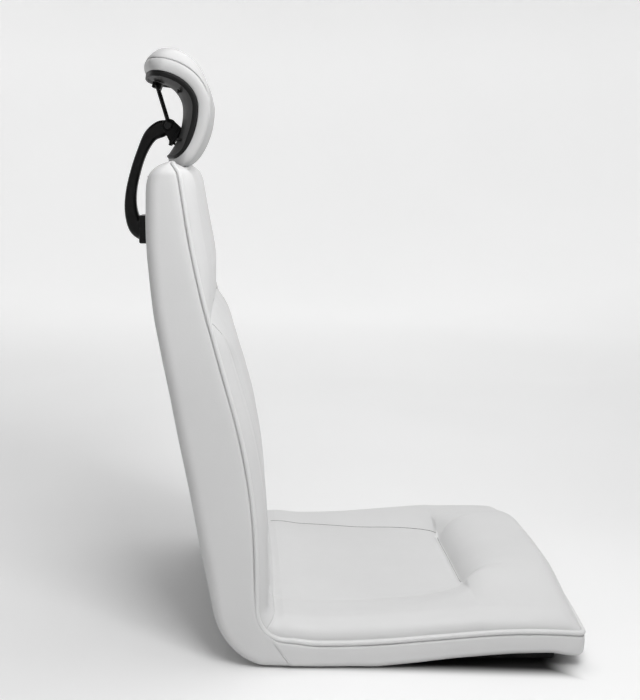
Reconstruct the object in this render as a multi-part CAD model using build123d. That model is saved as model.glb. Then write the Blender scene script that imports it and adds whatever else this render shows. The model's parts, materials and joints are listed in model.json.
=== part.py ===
from build123d import *
import math
import os

os.makedirs("parts", exist_ok=True)

# An upholstered chair shell: a seat and a back joined rigidly, with an adjustable headrest.
# Millimetres.  +Z is up, the sitter faces -Y, X runs across the chair.
# The origin is the centre of the four bolts on the underside.

# ---- Driving dimensions ----
HALF_WIDTH_LOW = 265      # half of the width at the floor
HALF_WIDTH_TOP = 204.2    # half of the width, extended to TOP_APEX_Z
TOP_APEX_Z = 803          # where the side planes would meet the shoulders' slope
TOP_DISH_Z = 772          # height of the dished middle of the back's top edge
DISH_HALF_WIDTH = 140     # half of the width of that dish
FRONT_Y = -290            # front of the seat
REAR_Y = 400              # rearmost line of the back
CROWN = 20                # how far the padding stands proud of its piping
SKIN = 2                  # thickness of the leather with its backing
PIPING = 3                # half of the piping cord's thickness
GAP = 0.2                 # clearance between neighbouring soft pieces
BOARD = 12                # plywood thickness
REAR_PAD = 12             # thin foam behind the back's board
BOLT_SPACING_X = 150      # base bolts, across
BOLT_SPACING_Y = 200      # base bolts, front to rear
BOLT_HOLE_R = 3.1         # clearance for M6

BOARD_HALF_WIDTH = 205    # seat board
BOARD_FRONT_Y = -185
BOARD_REAR_Y = 188
CLOTH = 1                 # dust cloth under the seat board

RAIL_FRONT_Y = 389        # front of the headrest rail, a C channel let into the back
RAIL_REAR_Y = 401
RAIL_LOW_Z = 634
RAIL_HIGH_Z = 744
RAIL_HALF_WIDTH = 25
RAIL_WALL = 2.5
SLOT_HALF_WIDTH = 12
SLIDER_LOW_Z = 640
SLIDER_HIGH_Z = 685
SLIDE_TRAVEL = 50         # how far the slider can rise before it meets the upper stop
PLUG_Z = 662              # height of the friction plug and its spring
FOOT_SCREW_ZS = (649, 676)

PAD_HALF_WIDTH = 150      # the middle pads, between the side bolsters
LUMBAR_TOP_Z = 521        # the crosswise valley lies between these two heights
SHOULDER_LOW_Z = 535
ROLL_REAR_Y = -166        # the front roll ends and the seat pad starts here
BOLSTER_OUT = 300         # past the outermost padding

PIVOT_Y = 376             # headrest tilt axis, along X
PIVOT_Z = 849
PIN_R = 4
EYE_R = 12.5
EYE_HALF_WIDTH = 13

HEAD_HALF_WIDTH = 140     # headrest
HEAD_LOW_Z = 779
HEAD_HIGH_Z = 978
HEAD_CORNER = 20
HEAD_AXIS_Y = -16         # the headrest is turned about this upright line
FACE_CENTRE = (419, 873)  # side view centre of the pad's front face
FACE_R = 104
SHELL_CENTRE = (416, 864)  # side view centre of the shell
SHELL_R = 69.5
SHELL_WALL = 3


# ---- Small helpers ----
def outline(points, radii):
    """A closed flat shape whose corners are rounded, each by its own radius."""
    return make_face(FilletPolyline(*points, radius=radii, close=True))


def grown(face, amount):
    """The flat shape grown by an amount, or shrunk when it is negative."""
    return offset(face, amount=amount) if amount else face


def across(face, half_width=400):
    """A side view shape, drawn as (Y, Z), carried across the chair."""
    return extrude(Plane.YZ * face, amount=half_width, both=True)


def block(x0, x1, y0, y1, z0, z1):
    """A box from its lowest and highest corners."""
    middle = ((x0 + x1) / 2, (y0 + y1) / 2, (z0 + z1) / 2)
    return Pos(*middle) * Box(x1 - x0, y1 - y0, z1 - z0)


def band(points, radii, width):
    """A strip of even width that follows a bent side view line."""
    return trace(FilletPolyline(*points, radius=radii), line_width=width)


def rod_x(y, z, radius, x0, x1):
    """A round rod along X."""
    return Pos((x0 + x1) / 2, y, z) * Rot(0, 90, 0) * Cylinder(radius, x1 - x0)


def rod_y(x, z, radius, y0, y1):
    """A round rod along Y."""
    return Pos(x, (y0 + y1) / 2, z) * Rot(90, 0, 0) * Cylinder(radius, y1 - y0)


def rod_z(x, y, radius, z0, z1):
    """A round rod along Z."""
    return Pos(x, y, (z0 + z1) / 2) * Cylinder(radius, z1 - z0)


def save(shape, node):
    """Writes one sub-part, as one solid or as a group of separate solids."""
    solids = [solid for solid in shape.solids() if solid.volume > 1]
    piece = solids[0] if len(solids) == 1 else Compound(children=solids)
    export_step(piece, f"parts/{node}.step")


# ---- Side views of the chair shell ----
def side_view(crown):
    """The side view: crown 0 stops at the piping, CROWN is the padded middle."""
    points = [
        (FRONT_Y + 5, 23), (-170, 23), (60, 0), (272, 0), (REAR_Y, 600), (REAR_Y, 790),
        (351 - crown, 797), (318 - crown, 600), (222 - crown, 266), (222 - crown, 42 + crown),
        (60, 42 + crown), (-185, 61.5 + crown), (FRONT_Y, 57 + crown),
    ]
    radii = [
        8, 1200, 1200, 100, 1000, 40, 12 + 0.6 * crown, 1500, 900, 45 - 0.75 * crown, 1400,
        1000, 4 + 1.1 * crown,
    ]
    return outline(points, radii)


def behind_view():
    """Everything behind and below a line midway between the piping and the rear."""
    points = [
        (-400, 52), (-250, 50), (-100, 38), (100, 24), (215, 24), (262, 90), (305, 431),
        (350, 740), (350, 900), (600, 900), (600, -100), (-400, -100),
    ]
    return make_face(Polyline(*points, close=True))


def back_view():
    """The back's share of the side view, split from the seat's at the mitre seam."""
    points = [(177, 87), (209, 55), (170, 0), (170, -100), (600, -100), (600, 1100), (177, 1100)]
    return make_face(Polyline(*points, close=True))


def piping_view(half):
    """The side view of the piping's seam line, with half its thickness either side."""
    return (grown(side_view(0), half) - grown(side_view(0), -half)) - behind_view()


def rear_panel_view():
    """The rear panel's share: the rear edge, the lower corner and the top edge."""
    edge = side_view(0) - grown(side_view(0), -14)
    top = [(345, 764), (388, 690), (430, 690), (430, 830), (340, 830), (340, 764)]
    return (edge & behind_view() & back_view()) + make_face(Polyline(*top, close=True))


SIDE = side_view(0)
PADDED = side_view(CROWN)
BACK_SHARE = across(back_view())
SEAT_SHARE = block(-400, 400, -600, 700, -200, 1200) - across(grown(back_view(), GAP))


def column(inset):
    """The chair's front view and plan, carried right through and cut to each other."""
    slope = (HALF_WIDTH_LOW - HALF_WIDTH_TOP) / TOP_APEX_Z
    low = HALF_WIDTH_LOW + 60 * slope
    front = outline(
        [(-low, -60), (low, -60), (HALF_WIDTH_TOP, TOP_APEX_Z), (DISH_HALF_WIDTH, TOP_DISH_Z),
         (-DISH_HALF_WIDTH, TOP_DISH_Z), (-HALF_WIDTH_TOP, TOP_APEX_Z)],
        [0, 0, 28, 120, 120, 28],
    )
    plan = outline([(-266, FRONT_Y), (266, FRONT_Y), (266, 700), (-266, 700)], [26, 26, 0, 0])
    upright = extrude(Plane.XZ * grown(front, -inset), amount=700, both=True)
    return upright & extrude(grown(plan, -inset), amount=1200, both=True)


def body(inset):
    """The whole padded shell, shrunk evenly by an inset.  Its edge steps down to the piping."""
    low_step = across(grown(side_view(CROWN / 2), -inset)) & column(inset)
    high_step = across(grown(PADDED, -inset)) & column(inset + CROWN / 2)
    return low_step + high_step


OUTER = body(0)
SKINS = OUTER - body(SKIN)
FILLING = body(SKIN + GAP)
PIPING_GROOVE = across(piping_view(PIPING + GAP)) & (column(-PIPING - GAP) - column(PIPING + GAP))
PADS_ZONE = FILLING - across(grown(SIDE, GAP)) - PIPING_GROOVE
CORE_ZONE = (FILLING & across(SIDE)) - PIPING_GROOVE
REAR_ZONE = across(rear_panel_view())
BOARD_SPACE = block(
    -BOARD_HALF_WIDTH - GAP, BOARD_HALF_WIDTH + GAP,
    BOARD_FRONT_Y - GAP, BOARD_REAR_Y + GAP, -1, CLOTH + BOARD + GAP,
)
UNDER_OPENING = block(
    -BOARD_HALF_WIDTH - GAP, BOARD_HALF_WIDTH + GAP, BOARD_FRONT_Y - GAP, BOARD_REAR_Y + GAP, -1, 30
)
RAIL_POCKET = block(
    -RAIL_HALF_WIDTH - 1, RAIL_HALF_WIDTH + 1,
    RAIL_FRONT_Y - 14, RAIL_REAR_Y + 10, RAIL_LOW_Z - 1, RAIL_HIGH_Z + 1,
)
BOLT_POINTS = [
    (x * BOLT_SPACING_X / 2, y * BOLT_SPACING_Y / 2) for x in (-1, 1) for y in (-1, 1)
]
BRACKET_XS = (-120, 120)
BACK_SLOPE = math.degrees(math.atan(0.2))
RAIL_SCREW_POINTS = [(x, z) for x in (-16, 16) for z in (652, 726)]


def layer(outer_inset, inner_inset):
    """A layer that follows the rear of the back, between two depths under its skin."""
    rear_half = [(255, 95), (330, 520), (352, 610), (371, 742), (500, 742), (500, 95)]
    view = grown(SIDE, -outer_inset) - grown(SIDE, -inner_inset)
    return across(view & make_face(Polyline(*rear_half, close=True)))


# ---- Boards and their metalwork ----
def seat_board():
    """The flat plywood board that the base bolts to, with holes for the T nuts."""
    board = block(
        -BOARD_HALF_WIDTH, BOARD_HALF_WIDTH, BOARD_FRONT_Y, BOARD_REAR_Y, CLOTH, CLOTH + BOARD
    )
    board = fillet(board.edges().filter_by(Axis.Z), 30)
    for x, y in BOLT_POINTS:
        board -= rod_z(x, y, 4.6, -1, 20)
    return board - seat_screws(0.1)


def t_nuts():
    """Four flanged nuts pressed down into the seat board."""
    top = CLOTH + BOARD
    nuts = Part()
    for x, y in BOLT_POINTS:
        nut = rod_z(x, y, 10, top + 0.05, top + 1.5) + rod_z(x, y, 4.5, 0, top + 0.05)
        nuts += nut - rod_z(x, y, BOLT_HOLE_R, -1, top + 5)
    return nuts


def seat_screws(extra):
    """The screws that hold the brackets' lower legs, with extra radius for their holes."""
    top = CLOTH + BOARD + GAP + 4
    screws = Part()
    for x in BRACKET_XS:
        for y in (100, 160):
            screws += rod_z(x, y, 3 + extra, CLOTH + 1, top)
            screws += rod_z(x, y, 5.5 + extra, top, top + 3.5 + extra)
    return screws


def back_screws(extra):
    """The screws that hold the brackets' upper legs, square to the sloping board."""
    screws = Part()
    tilt = Rot(-90 - BACK_SLOPE, 0, 0)
    for x in BRACKET_XS:
        for z in (135, 215):
            at_board = Pos(x, 272 + 0.2 * z - 1.02 * 23.2, z) * tilt
            screws += at_board * Cylinder(3 + extra, 15)
            screws += at_board * Pos(0, 0, -9.3 - extra / 2) * Cylinder(5.5 + extra, 3.5 + extra)
    return screws


def bracket_screws():
    """Every screw of both corner brackets."""
    return seat_screws(0) + back_screws(0)


def corner_brackets():
    """Two bent steel straps that join the seat board to the back board."""
    points = [(75, 15.3), (212, 15.3), (257.9, 75), (292.9, 250)]
    strap = band(points, 25, 4)
    straps = Part()
    for x in BRACKET_XS:
        straps += Pos(x, 0, 0) * across(strap, 20)
    return straps - seat_screws(0.1) - back_screws(0.1)


def back_board():
    """The moulded plywood board that follows the rear of the back."""
    skin = SKIN + GAP + REAR_PAD + GAP
    board = layer(skin, skin + BOARD) & column(30)
    return board - back_screws(0.1) - rail_screws(0.1) - rail_packer_space()


def rail_packer_space():
    """The flat seat milled for the rail wherever the board would stand too far back."""
    return block(-30, 30, RAIL_FRONT_Y - 0.1, 420, RAIL_LOW_Z - 5, RAIL_HIGH_Z + 5)


# ---- Foam ----
def rear_foam():
    """The thin foam between the back's board and its rear cover."""
    return (layer(SKIN + GAP, SKIN + GAP + REAR_PAD) & column(8)) - RAIL_POCKET


def seat_core():
    """The seat's main foam block, let down to the board in the middle."""
    fill = block(-BOARD_HALF_WIDTH, BOARD_HALF_WIDTH, BOARD_FRONT_Y, 160, 5, 40)
    foam = (CORE_ZONE & SEAT_SHARE) + (fill & SEAT_SHARE)
    foam -= BOARD_SPACE
    for x, y in BOLT_POINTS:
        foam -= rod_z(x, y, 11, 0, CLOTH + BOARD + 2)
        foam -= rod_z(x, y, 4, 0, CLOTH + BOARD + 12)
    return foam - bracket_room()


def bracket_room():
    """The space the brackets and their screws take out of the foam."""
    points = [(70, 15.3), (212, 15.3), (257.9, 75), (293.9, 255)]
    room = Part()
    for x in BRACKET_XS:
        room += Pos(x, 0, 0) * across(band(points, 25, 4.6), 20.3)
    return room + seat_screws(0.3) + back_screws(0.3)


def back_core():
    """The back's main foam block, in front of the board."""
    foam = CORE_ZONE & BACK_SHARE
    foam -= layer(0, SKIN + GAP + REAR_PAD + GAP + BOARD + GAP)
    foam -= block(-400, 400, 150, 500, -10, 95) & REAR_ZONE
    return foam - BOARD_SPACE - bracket_room() - RAIL_POCKET - rail_screws(0.3)


def back_pad(x0, x1, z0, z1):
    """A piece of the back's front padding between two widths and two heights."""
    return PADS_ZONE & BACK_SHARE & block(x0, x1, 100, 450, z0, z1)


def seat_pad(x0, x1, y0, y1):
    """A piece of the seat's top padding between two widths and two depths."""
    return PADS_ZONE & SEAT_SHARE & block(x0, x1, y0, y1, 30, 200)


# ---- Covers ----
def front_covers():
    """The skins on the sitter's side of the piping."""
    return SKINS - across(grown(SIDE, PIPING + GAP))


def side_panels():
    """The skins between the piping and the rear panel."""
    view = side_view(0) - piping_view(PIPING + GAP)
    return (SKINS & across(view)) - REAR_ZONE - UNDER_OPENING


def rear_cover():
    """The rear panel, wrapped round the side edges and under the lower corner."""
    view = rear_panel_view() & side_view(0)
    view = view - piping_view(PIPING + GAP)
    return (SKINS & across(grown(view, -GAP / 2)) & BACK_SHARE) - BOARD_SPACE - RAIL_POCKET


def edge_piping():
    """The closed cord round the whole sitting side."""
    return across(piping_view(PIPING)) & (column(-PIPING) - column(PIPING))


def half(shape, side):
    """The part of a shape on one side of the chair: -1 is the sitter's right, +1 the left."""
    return shape & block(min(0, side * 400), max(0, side * 400), -500, 600, -100, 900)


def bottom_cloth():
    """The dust cloth under the seat board, open round the four bolts."""
    cloth = block(
        -BOARD_HALF_WIDTH, BOARD_HALF_WIDTH, BOARD_FRONT_Y, BOARD_REAR_Y, 0, CLOTH - GAP
    )
    cloth = fillet(cloth.edges().filter_by(Axis.Z), 30)
    for x, y in BOLT_POINTS:
        cloth -= rod_z(x, y, 6, -1, 2)
    return cloth


# ---- Headrest rail in the back ----
def headrest_rail():
    """A steel C channel, open to the rear, that the headrest arm slides in."""
    rail = block(
        -RAIL_HALF_WIDTH, RAIL_HALF_WIDTH, RAIL_FRONT_Y, RAIL_REAR_Y, RAIL_LOW_Z, RAIL_HIGH_Z
    )
    inner = RAIL_HALF_WIDTH - RAIL_WALL
    rail -= block(
        -inner, inner, RAIL_FRONT_Y + RAIL_WALL, RAIL_REAR_Y - RAIL_WALL, RAIL_LOW_Z, RAIL_HIGH_Z
    )
    rail -= block(
        -SLOT_HALF_WIDTH, SLOT_HALF_WIDTH, RAIL_REAR_Y - 5, RAIL_REAR_Y + 5, RAIL_LOW_Z, RAIL_HIGH_Z
    )
    return rail - rail_screws(0.1)


def rail_stops():
    """Plastic plugs that close the rail's two ends and stop the slider."""
    inner = RAIL_HALF_WIDTH - RAIL_WALL - 0.1
    stops = Part()
    for low, high in ((RAIL_LOW_Z, SLIDER_LOW_Z - 1), (SLIDER_HIGH_Z + SLIDE_TRAVEL + 1, RAIL_HIGH_Z)):
        stops += block(
            -inner, inner, RAIL_FRONT_Y + RAIL_WALL + 0.1, RAIL_REAR_Y - RAIL_WALL - 0.1, low, high
        )
        stops += block(
            -SLOT_HALF_WIDTH + 0.1, SLOT_HALF_WIDTH - 0.1,
            RAIL_REAR_Y - RAIL_WALL - 0.2, RAIL_REAR_Y, low, high,
        )
    return stops


def rail_screws(extra):
    """Countersunk screws from the rail into the back board."""
    screws = Part()
    for x, z in RAIL_SCREW_POINTS:
        screws += rod_y(x, z, 2.4 + extra, 371, RAIL_FRONT_Y + 0.5)
        screws += rod_y(x, z, 4.4 + extra, RAIL_FRONT_Y + 0.5, RAIL_FRONT_Y + RAIL_WALL)
    return screws


def rail_packer():
    """The hardwood packer that fills between the curved board and the flat rail."""
    behind_board = layer(0, SKIN + GAP + REAR_PAD + GAP - 0.1)
    space = block(-25, 25, 300, RAIL_FRONT_Y - 0.1, RAIL_LOW_Z, RAIL_HIGH_Z - 4)
    return (behind_board & space) - rail_screws(0.1)


# ---- Headrest arm ----
ARM_LINE = [(396, 841), (422, 833), (445, 752), (446, 690), (430, 655), (418, 652)]


def arm_slider():
    """The tongue that runs in the rail, with a neck out through its slot."""
    tongue = block(-22, 22, RAIL_FRONT_Y + 3, RAIL_REAR_Y - 3, SLIDER_LOW_Z, SLIDER_HIGH_Z)
    neck = block(
        -SLOT_HALF_WIDTH + 0.3, SLOT_HALF_WIDTH - 0.3, RAIL_REAR_Y - 3, 402.9, 643, 682
    )
    return tongue + neck - foot_screws(0.1) - rod_y(0, PLUG_Z, 6.1, 380, 420)


def foot_screws(extra):
    """Two screws from the slider into the arm's foot."""
    screws = Part()
    for z in FOOT_SCREW_ZS:
        screws += rod_y(0, z, 2.5 + extra, 395, 416)
        screws += rod_y(0, z, 4.5 + extra, 392.5, 395)
    return screws


def friction_plug():
    """The rubber plug that is sprung against the rail and holds the height."""
    return rod_y(0, PLUG_Z, 6, RAIL_FRONT_Y + RAIL_WALL + 0.1, 399)


def plug_spring():
    """The coil spring behind the friction plug."""
    coil = Helix(pitch=3, height=16, radius=4.4, direction=(0, 1, 0), center=(0, 400.2, PLUG_Z))
    start = Plane(origin=coil @ 0, z_dir=coil % 0)
    return sweep(start * Circle(0.7), path=coil)


def headrest_arm():
    """The moulded arm: foot, curved bar, end block and the eye for the tilt pin."""
    foot = block(-25, 25, 403, 432, 637, 688)
    foot = fillet(foot.edges().filter_by(Axis.Y), 8)
    foot = fillet(foot.faces().sort_by(Axis.Y)[-1].edges(), 5)
    bar = across(band(ARM_LINE, [24, 90, 40, 8], 19), 14)
    end_block = block(-18, 18, 389.5, 401, 826, 858)
    end_block = fillet(end_block.edges().filter_by(Axis.Y), 5)
    eye = rod_x(PIVOT_Y, PIVOT_Z, EYE_R, -EYE_HALF_WIDTH, EYE_HALF_WIDTH)
    neck = block(-EYE_HALF_WIDTH, EYE_HALF_WIDTH, PIVOT_Y, 392, 838, 857)
    arm = foot + bar + end_block + eye + neck
    arm -= rod_x(PIVOT_Y, PIVOT_Z, 6.02, -30, 30)
    return arm - foot_screws(0.05) - rod_y(0, PLUG_Z, 6.1, 380, 418)


def eye_bush():
    """The nylon bush in the arm's eye, which the pin turns in."""
    bush = rod_x(PIVOT_Y, PIVOT_Z, 6, -EYE_HALF_WIDTH, EYE_HALF_WIDTH)
    return bush - rod_x(PIVOT_Y, PIVOT_Z, PIN_R + 0.05, -30, 30)


# ---- Headrest ----
def on_circle(centre, radius, degrees):
    """A side view point on a circle."""
    angle = math.radians(degrees)
    return (centre[0] + radius * math.cos(angle), centre[1] + radius * math.sin(angle))


def pad_view():
    """The pad's side view: a crescent between its front face and the shell."""
    face = ThreePointArc(*[on_circle(FACE_CENTRE, FACE_R, angle) for angle in (85, 161, 237)])
    back_r = SHELL_R + GAP
    back = ThreePointArc(*[on_circle(SHELL_CENTRE, back_r, angle) for angle in (243, 165, 88)])
    return make_face([face, Line(face @ 1, back @ 0), back, Line(back @ 1, face @ 0)])


def shell_view(inner, outer, low, high):
    """A ring segment about the shell's centre, from the low angle round to the high one."""
    ring = Circle(outer) - Circle(inner)
    corners = [on_circle((0, 0), 200, low + (high - low) * step / 4) for step in range(5)]
    wedge = make_face(Polyline((0, 0), *corners, close=True))
    return Pos(*SHELL_CENTRE) * (ring & wedge)


def turned(view):
    """A side view turned about the upright line in front, so that its wings come forward."""
    flat = Plane.YZ * view
    solid = revolve(flat, axis=Axis((0, HEAD_AXIS_Y, 0), (0, 0, 1)), revolution_arc=60)
    return Pos(0, HEAD_AXIS_Y, 0) * Rot(0, 0, -30) * Pos(0, -HEAD_AXIS_Y, 0) * solid


def head_front(inset):
    """The headrest's outline from the front, carried through front to rear."""
    wide = HEAD_HALF_WIDTH
    points = [(-wide, HEAD_LOW_Z), (wide, HEAD_LOW_Z), (wide, HEAD_HIGH_Z), (-wide, HEAD_HIGH_Z)]
    view = grown(outline(points, [HEAD_CORNER] * 4), -inset)
    return extrude(Plane.XZ * view, amount=700, both=True)


SHELL_HOLLOW = turned(Pos(*SHELL_CENTRE) * Circle(SHELL_R - SHELL_WALL - 0.1))
SHELL_SCREW_POINTS = [(x, z) for x in (-95, 95) for z in (822, 905)]


def headrest_shell():
    """The black shell behind the pad, with stiffening flanges at both ends."""
    wall = SHELL_R - SHELL_WALL
    shell = turned(shell_view(wall, SHELL_R, 90, 242)) & head_front(0.5)
    ends = head_front(0.5) - head_front(3.5)
    flange = turned(shell_view(wall - 6, SHELL_R, 90, 242)) & ends
    return shell + flange - shell_screws(0.15) - hinge_screws(0.15)


def shell_depth(x, z):
    """Where the shell's rear face stands at a width and a height."""
    reach = SHELL_R - SHELL_WALL
    at_middle = SHELL_CENTRE[0] - math.sqrt(reach ** 2 - (z - SHELL_CENTRE[1]) ** 2)
    radius = at_middle - HEAD_AXIS_Y
    return HEAD_AXIS_Y + math.sqrt(radius ** 2 - x ** 2)


def shell_screws(extra):
    """Four pan-head screws driven forward through the shell into the pad's board."""
    screws = Part()
    for x, z in SHELL_SCREW_POINTS:
        rear = shell_depth(x, z)
        screws += rod_y(x, z, 2 + extra, rear - 9, rear + 1.5)
        screws += rod_y(x, z, 3.5 + extra, rear + 1.5, rear + 4)
    return screws


def headrest_board():
    """The thin board inside the pad that the shell is screwed to."""
    board = turned(shell_view(SHELL_R + 0.3, SHELL_R + 3.5, 96, 236)) & head_front(8)
    return board - shell_screws(0.1) - hinge_screws(0.1)


def board_opening():
    """The window in the pad's rear that the board stands in."""
    return turned(shell_view(SHELL_R - 2, SHELL_R + 3.7, 95.6, 236.4)) & head_front(7.7)


def headrest_foam():
    """The pad's foam."""
    inside = turned(grown(pad_view(), -SKIN - GAP)) & head_front(SKIN + GAP)
    return inside - board_opening() - shell_screws(0.4) - hinge_screws(0.4)


def headrest_skins():
    """The pad's leather all round, open at the rear where the board stands."""
    outer = turned(pad_view()) & head_front(0)
    inside = turned(grown(pad_view(), -SKIN)) & head_front(SKIN)
    return outer - inside - board_opening()


def face_zone():
    """The share of the pad's leather that belongs to the front panel."""
    face = Pos(*FACE_CENTRE) * (Circle(FACE_R + 9) - Circle(FACE_R - 12))
    return turned(face & (Pos(FACE_CENTRE[0] - 150, FACE_CENTRE[1]) * Rectangle(300, 400)))


def hinge_bracket():
    """The clevis on the shell that holds the tilt pin."""
    tilt = Pos(0, *SHELL_CENTRE) * Rot(34, 0, 0)
    plate = tilt * block(-23, 23, -90, -60, -19, 19)
    ear = make_hull((Pos(PIVOT_Y, PIVOT_Z) * Circle(12)).edges() + plate_line().edges())
    bracket = plate
    for x in (-17, 17):
        bracket += Pos(x, 0, 0) * across(ear, 3)
    bracket &= SHELL_HOLLOW
    return bracket - rod_x(PIVOT_Y, PIVOT_Z, PIN_R + 0.02, -40, 40) - hinge_screws(0.1)


def plate_line():
    """The side view of the stretch of shell that the clevis's ears stand on."""
    foot = make_face(Polyline((-80, -14), (-60, -14), (-60, 16), (-80, 16), close=True))
    return Pos(*SHELL_CENTRE) * Rot(0, 0, 34) * foot


def hinge_screws(extra):
    """Four screws through the bracket's plate, square to it, into the pad's board."""
    tilt = Pos(0, *SHELL_CENTRE) * Rot(34, 0, 0)
    screws = Part()
    for x in (-8, 8):
        for z in (-12, 12):
            screws += tilt * rod_y(x, z, 2 + extra, -76, -60)
            screws += tilt * rod_y(x, z, 3.6 + extra, -60, -57.6)
    return screws


def hinge_pin():
    """The tilt pin, with a domed head at one end."""
    pin = rod_x(PIVOT_Y, PIVOT_Z, PIN_R, -28, 28)
    head = rod_x(PIVOT_Y, PIVOT_Z, 7, -30, -26)
    return pin + fillet(head.edges().sort_by(Axis.X)[0], 2)


def pin_clip():
    """The spring clip on the pin's plain end."""
    return rod_x(PIVOT_Y, PIVOT_Z, 6.5, 26.2, 27.4) - rod_x(PIVOT_Y, PIVOT_Z, PIN_R + 0.01, 20, 30)


def friction_washers():
    """Two washers between the arm's eye and the clevis's ears."""
    washers = Part()
    for x in (-13.5, 13.5):
        washer = rod_x(PIVOT_Y, PIVOT_Z, 11, x - 0.4, x + 0.4)
        washers += washer - rod_x(PIVOT_Y, PIVOT_Z, PIN_R + 0.02, -30, 30)
    return washers


STAY_X = 23
STAY_TOP = (398, 921)


def headrest_stay():
    """The bent wire that runs from the pin up to the clip at the shell's top."""
    rise = math.degrees(math.atan2(STAY_TOP[1] - PIVOT_Z, STAY_TOP[0] - PIVOT_Y))
    length = math.dist(STAY_TOP, (PIVOT_Y, PIVOT_Z))
    stay = rod_x(*STAY_TOP, 2.4, -STAY_X, STAY_X)
    for x in (-STAY_X, STAY_X):
        leg = Pos(x, PIVOT_Y, PIVOT_Z) * Rot(rise - 90, 0, 0) * Pos(0, 0, length / 2)
        stay += leg * Cylinder(2.5, length)
        stay += Pos(x, *STAY_TOP) * Sphere(2.9)
        stay += rod_x(PIVOT_Y, PIVOT_Z, 7, x - 2.7, x + 2.7)
    return stay - rod_x(PIVOT_Y, PIVOT_Z, PIN_R + 0.02, -40, 40)


def stay_clip():
    """The clip moulded to grip the stay's crossbar under the shell's top."""
    turn = math.degrees(math.atan2(STAY_TOP[1] - SHELL_CENTRE[1], STAY_TOP[0] - SHELL_CENTRE[0]))
    clip = Pos(0, *SHELL_CENTRE) * Rot(turn - 90, 0, 0) * block(-17, 17, -8, 8, 55, 80)
    return (clip & SHELL_HOLLOW) - rod_x(*STAY_TOP, 2.55, -40, 40)


# ---- Every sub-part and its node ----
PANELS = side_panels()
HEAD_SKINS = headrest_skins()

NODES = {
    "seat_board": seat_board(),
    "base_t_nuts": t_nuts(),
    "back_board": back_board(),
    "corner_brackets": corner_brackets(),
    "bracket_screws": bracket_screws(),
    "seat_foam": seat_core(),
    "back_foam": back_core(),
    "rear_foam": rear_foam(),
    "lumbar_pad": back_pad(-PAD_HALF_WIDTH, PAD_HALF_WIDTH, 60, LUMBAR_TOP_Z),
    "shoulder_pad": back_pad(-PAD_HALF_WIDTH, PAD_HALF_WIDTH, SHOULDER_LOW_Z, 800),
    "back_bolster_right": back_pad(-BOLSTER_OUT, -PAD_HALF_WIDTH - 1, 60, 800),
    "back_bolster_left": back_pad(PAD_HALF_WIDTH + 1, BOLSTER_OUT, 60, 800),
    "seat_pad": seat_pad(-PAD_HALF_WIDTH, PAD_HALF_WIDTH, ROLL_REAR_Y + 1, 250),
    "front_roll_pad": seat_pad(-PAD_HALF_WIDTH, PAD_HALF_WIDTH, -300, ROLL_REAR_Y),
    "seat_bolster_right": seat_pad(-BOLSTER_OUT, -PAD_HALF_WIDTH - 1, -300, 250),
    "seat_bolster_left": seat_pad(PAD_HALF_WIDTH + 1, BOLSTER_OUT, -300, 250),
    "seat_cover": front_covers() & SEAT_SHARE,
    "back_cover": front_covers() & BACK_SHARE,
    "seat_boxing": PANELS & SEAT_SHARE,
    "back_gusset_right": half(PANELS & BACK_SHARE, -1),
    "back_gusset_left": half(PANELS & BACK_SHARE, 1),
    "rear_cover": rear_cover(),
    "edge_piping": edge_piping(),
    "bottom_cloth": bottom_cloth(),
    "headrest_rail": headrest_rail(),
    "rail_stops": rail_stops(),
    "rail_screws": rail_screws(0),
    "rail_packer": rail_packer(),
    "arm_slider": arm_slider(),
    "headrest_arm": headrest_arm(),
    "foot_screws": foot_screws(0),
    "friction_plug": friction_plug(),
    "plug_spring": plug_spring(),
    "eye_bush": eye_bush(),
    "headrest_shell": headrest_shell(),
    "headrest_board": headrest_board(),
    "headrest_foam": headrest_foam(),
    "headrest_front_cover": HEAD_SKINS & face_zone(),
    "headrest_side_band": HEAD_SKINS - face_zone(),
    "shell_screws": shell_screws(0),
    "hinge_bracket": hinge_bracket(),
    "hinge_screws": hinge_screws(0),
    "hinge_pin": hinge_pin(),
    "pin_clip": pin_clip(),
    "friction_washers": friction_washers(),
    "headrest_stay": headrest_stay(),
    "stay_clip": stay_clip(),
}
for node, shape in NODES.items():
    save(shape, node)
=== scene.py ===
import json
import math
from contextlib import contextmanager

import bmesh
import bpy
import numpy as np
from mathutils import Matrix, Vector, noise
from mathutils.bvhtree import BVHTree


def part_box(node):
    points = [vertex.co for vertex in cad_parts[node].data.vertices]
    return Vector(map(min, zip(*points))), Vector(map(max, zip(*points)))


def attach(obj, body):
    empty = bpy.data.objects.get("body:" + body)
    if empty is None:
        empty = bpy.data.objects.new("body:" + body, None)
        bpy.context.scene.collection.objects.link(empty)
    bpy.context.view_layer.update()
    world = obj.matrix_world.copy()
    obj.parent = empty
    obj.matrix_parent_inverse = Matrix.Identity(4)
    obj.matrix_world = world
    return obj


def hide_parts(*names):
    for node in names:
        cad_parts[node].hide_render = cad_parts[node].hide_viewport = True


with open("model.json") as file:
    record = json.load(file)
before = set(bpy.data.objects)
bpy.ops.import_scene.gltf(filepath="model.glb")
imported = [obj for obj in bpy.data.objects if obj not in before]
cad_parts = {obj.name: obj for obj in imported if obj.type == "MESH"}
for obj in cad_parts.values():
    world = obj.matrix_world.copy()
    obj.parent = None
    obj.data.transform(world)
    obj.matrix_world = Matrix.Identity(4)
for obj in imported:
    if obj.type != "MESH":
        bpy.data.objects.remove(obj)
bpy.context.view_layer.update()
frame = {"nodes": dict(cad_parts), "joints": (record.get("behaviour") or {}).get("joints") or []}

# An upholstered chair shell with a headrest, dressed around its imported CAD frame.  Metres, +Z up,
# the sitter faces -Y.  Every soft surface starts from curves read off the CAD nodes by rays.

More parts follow.
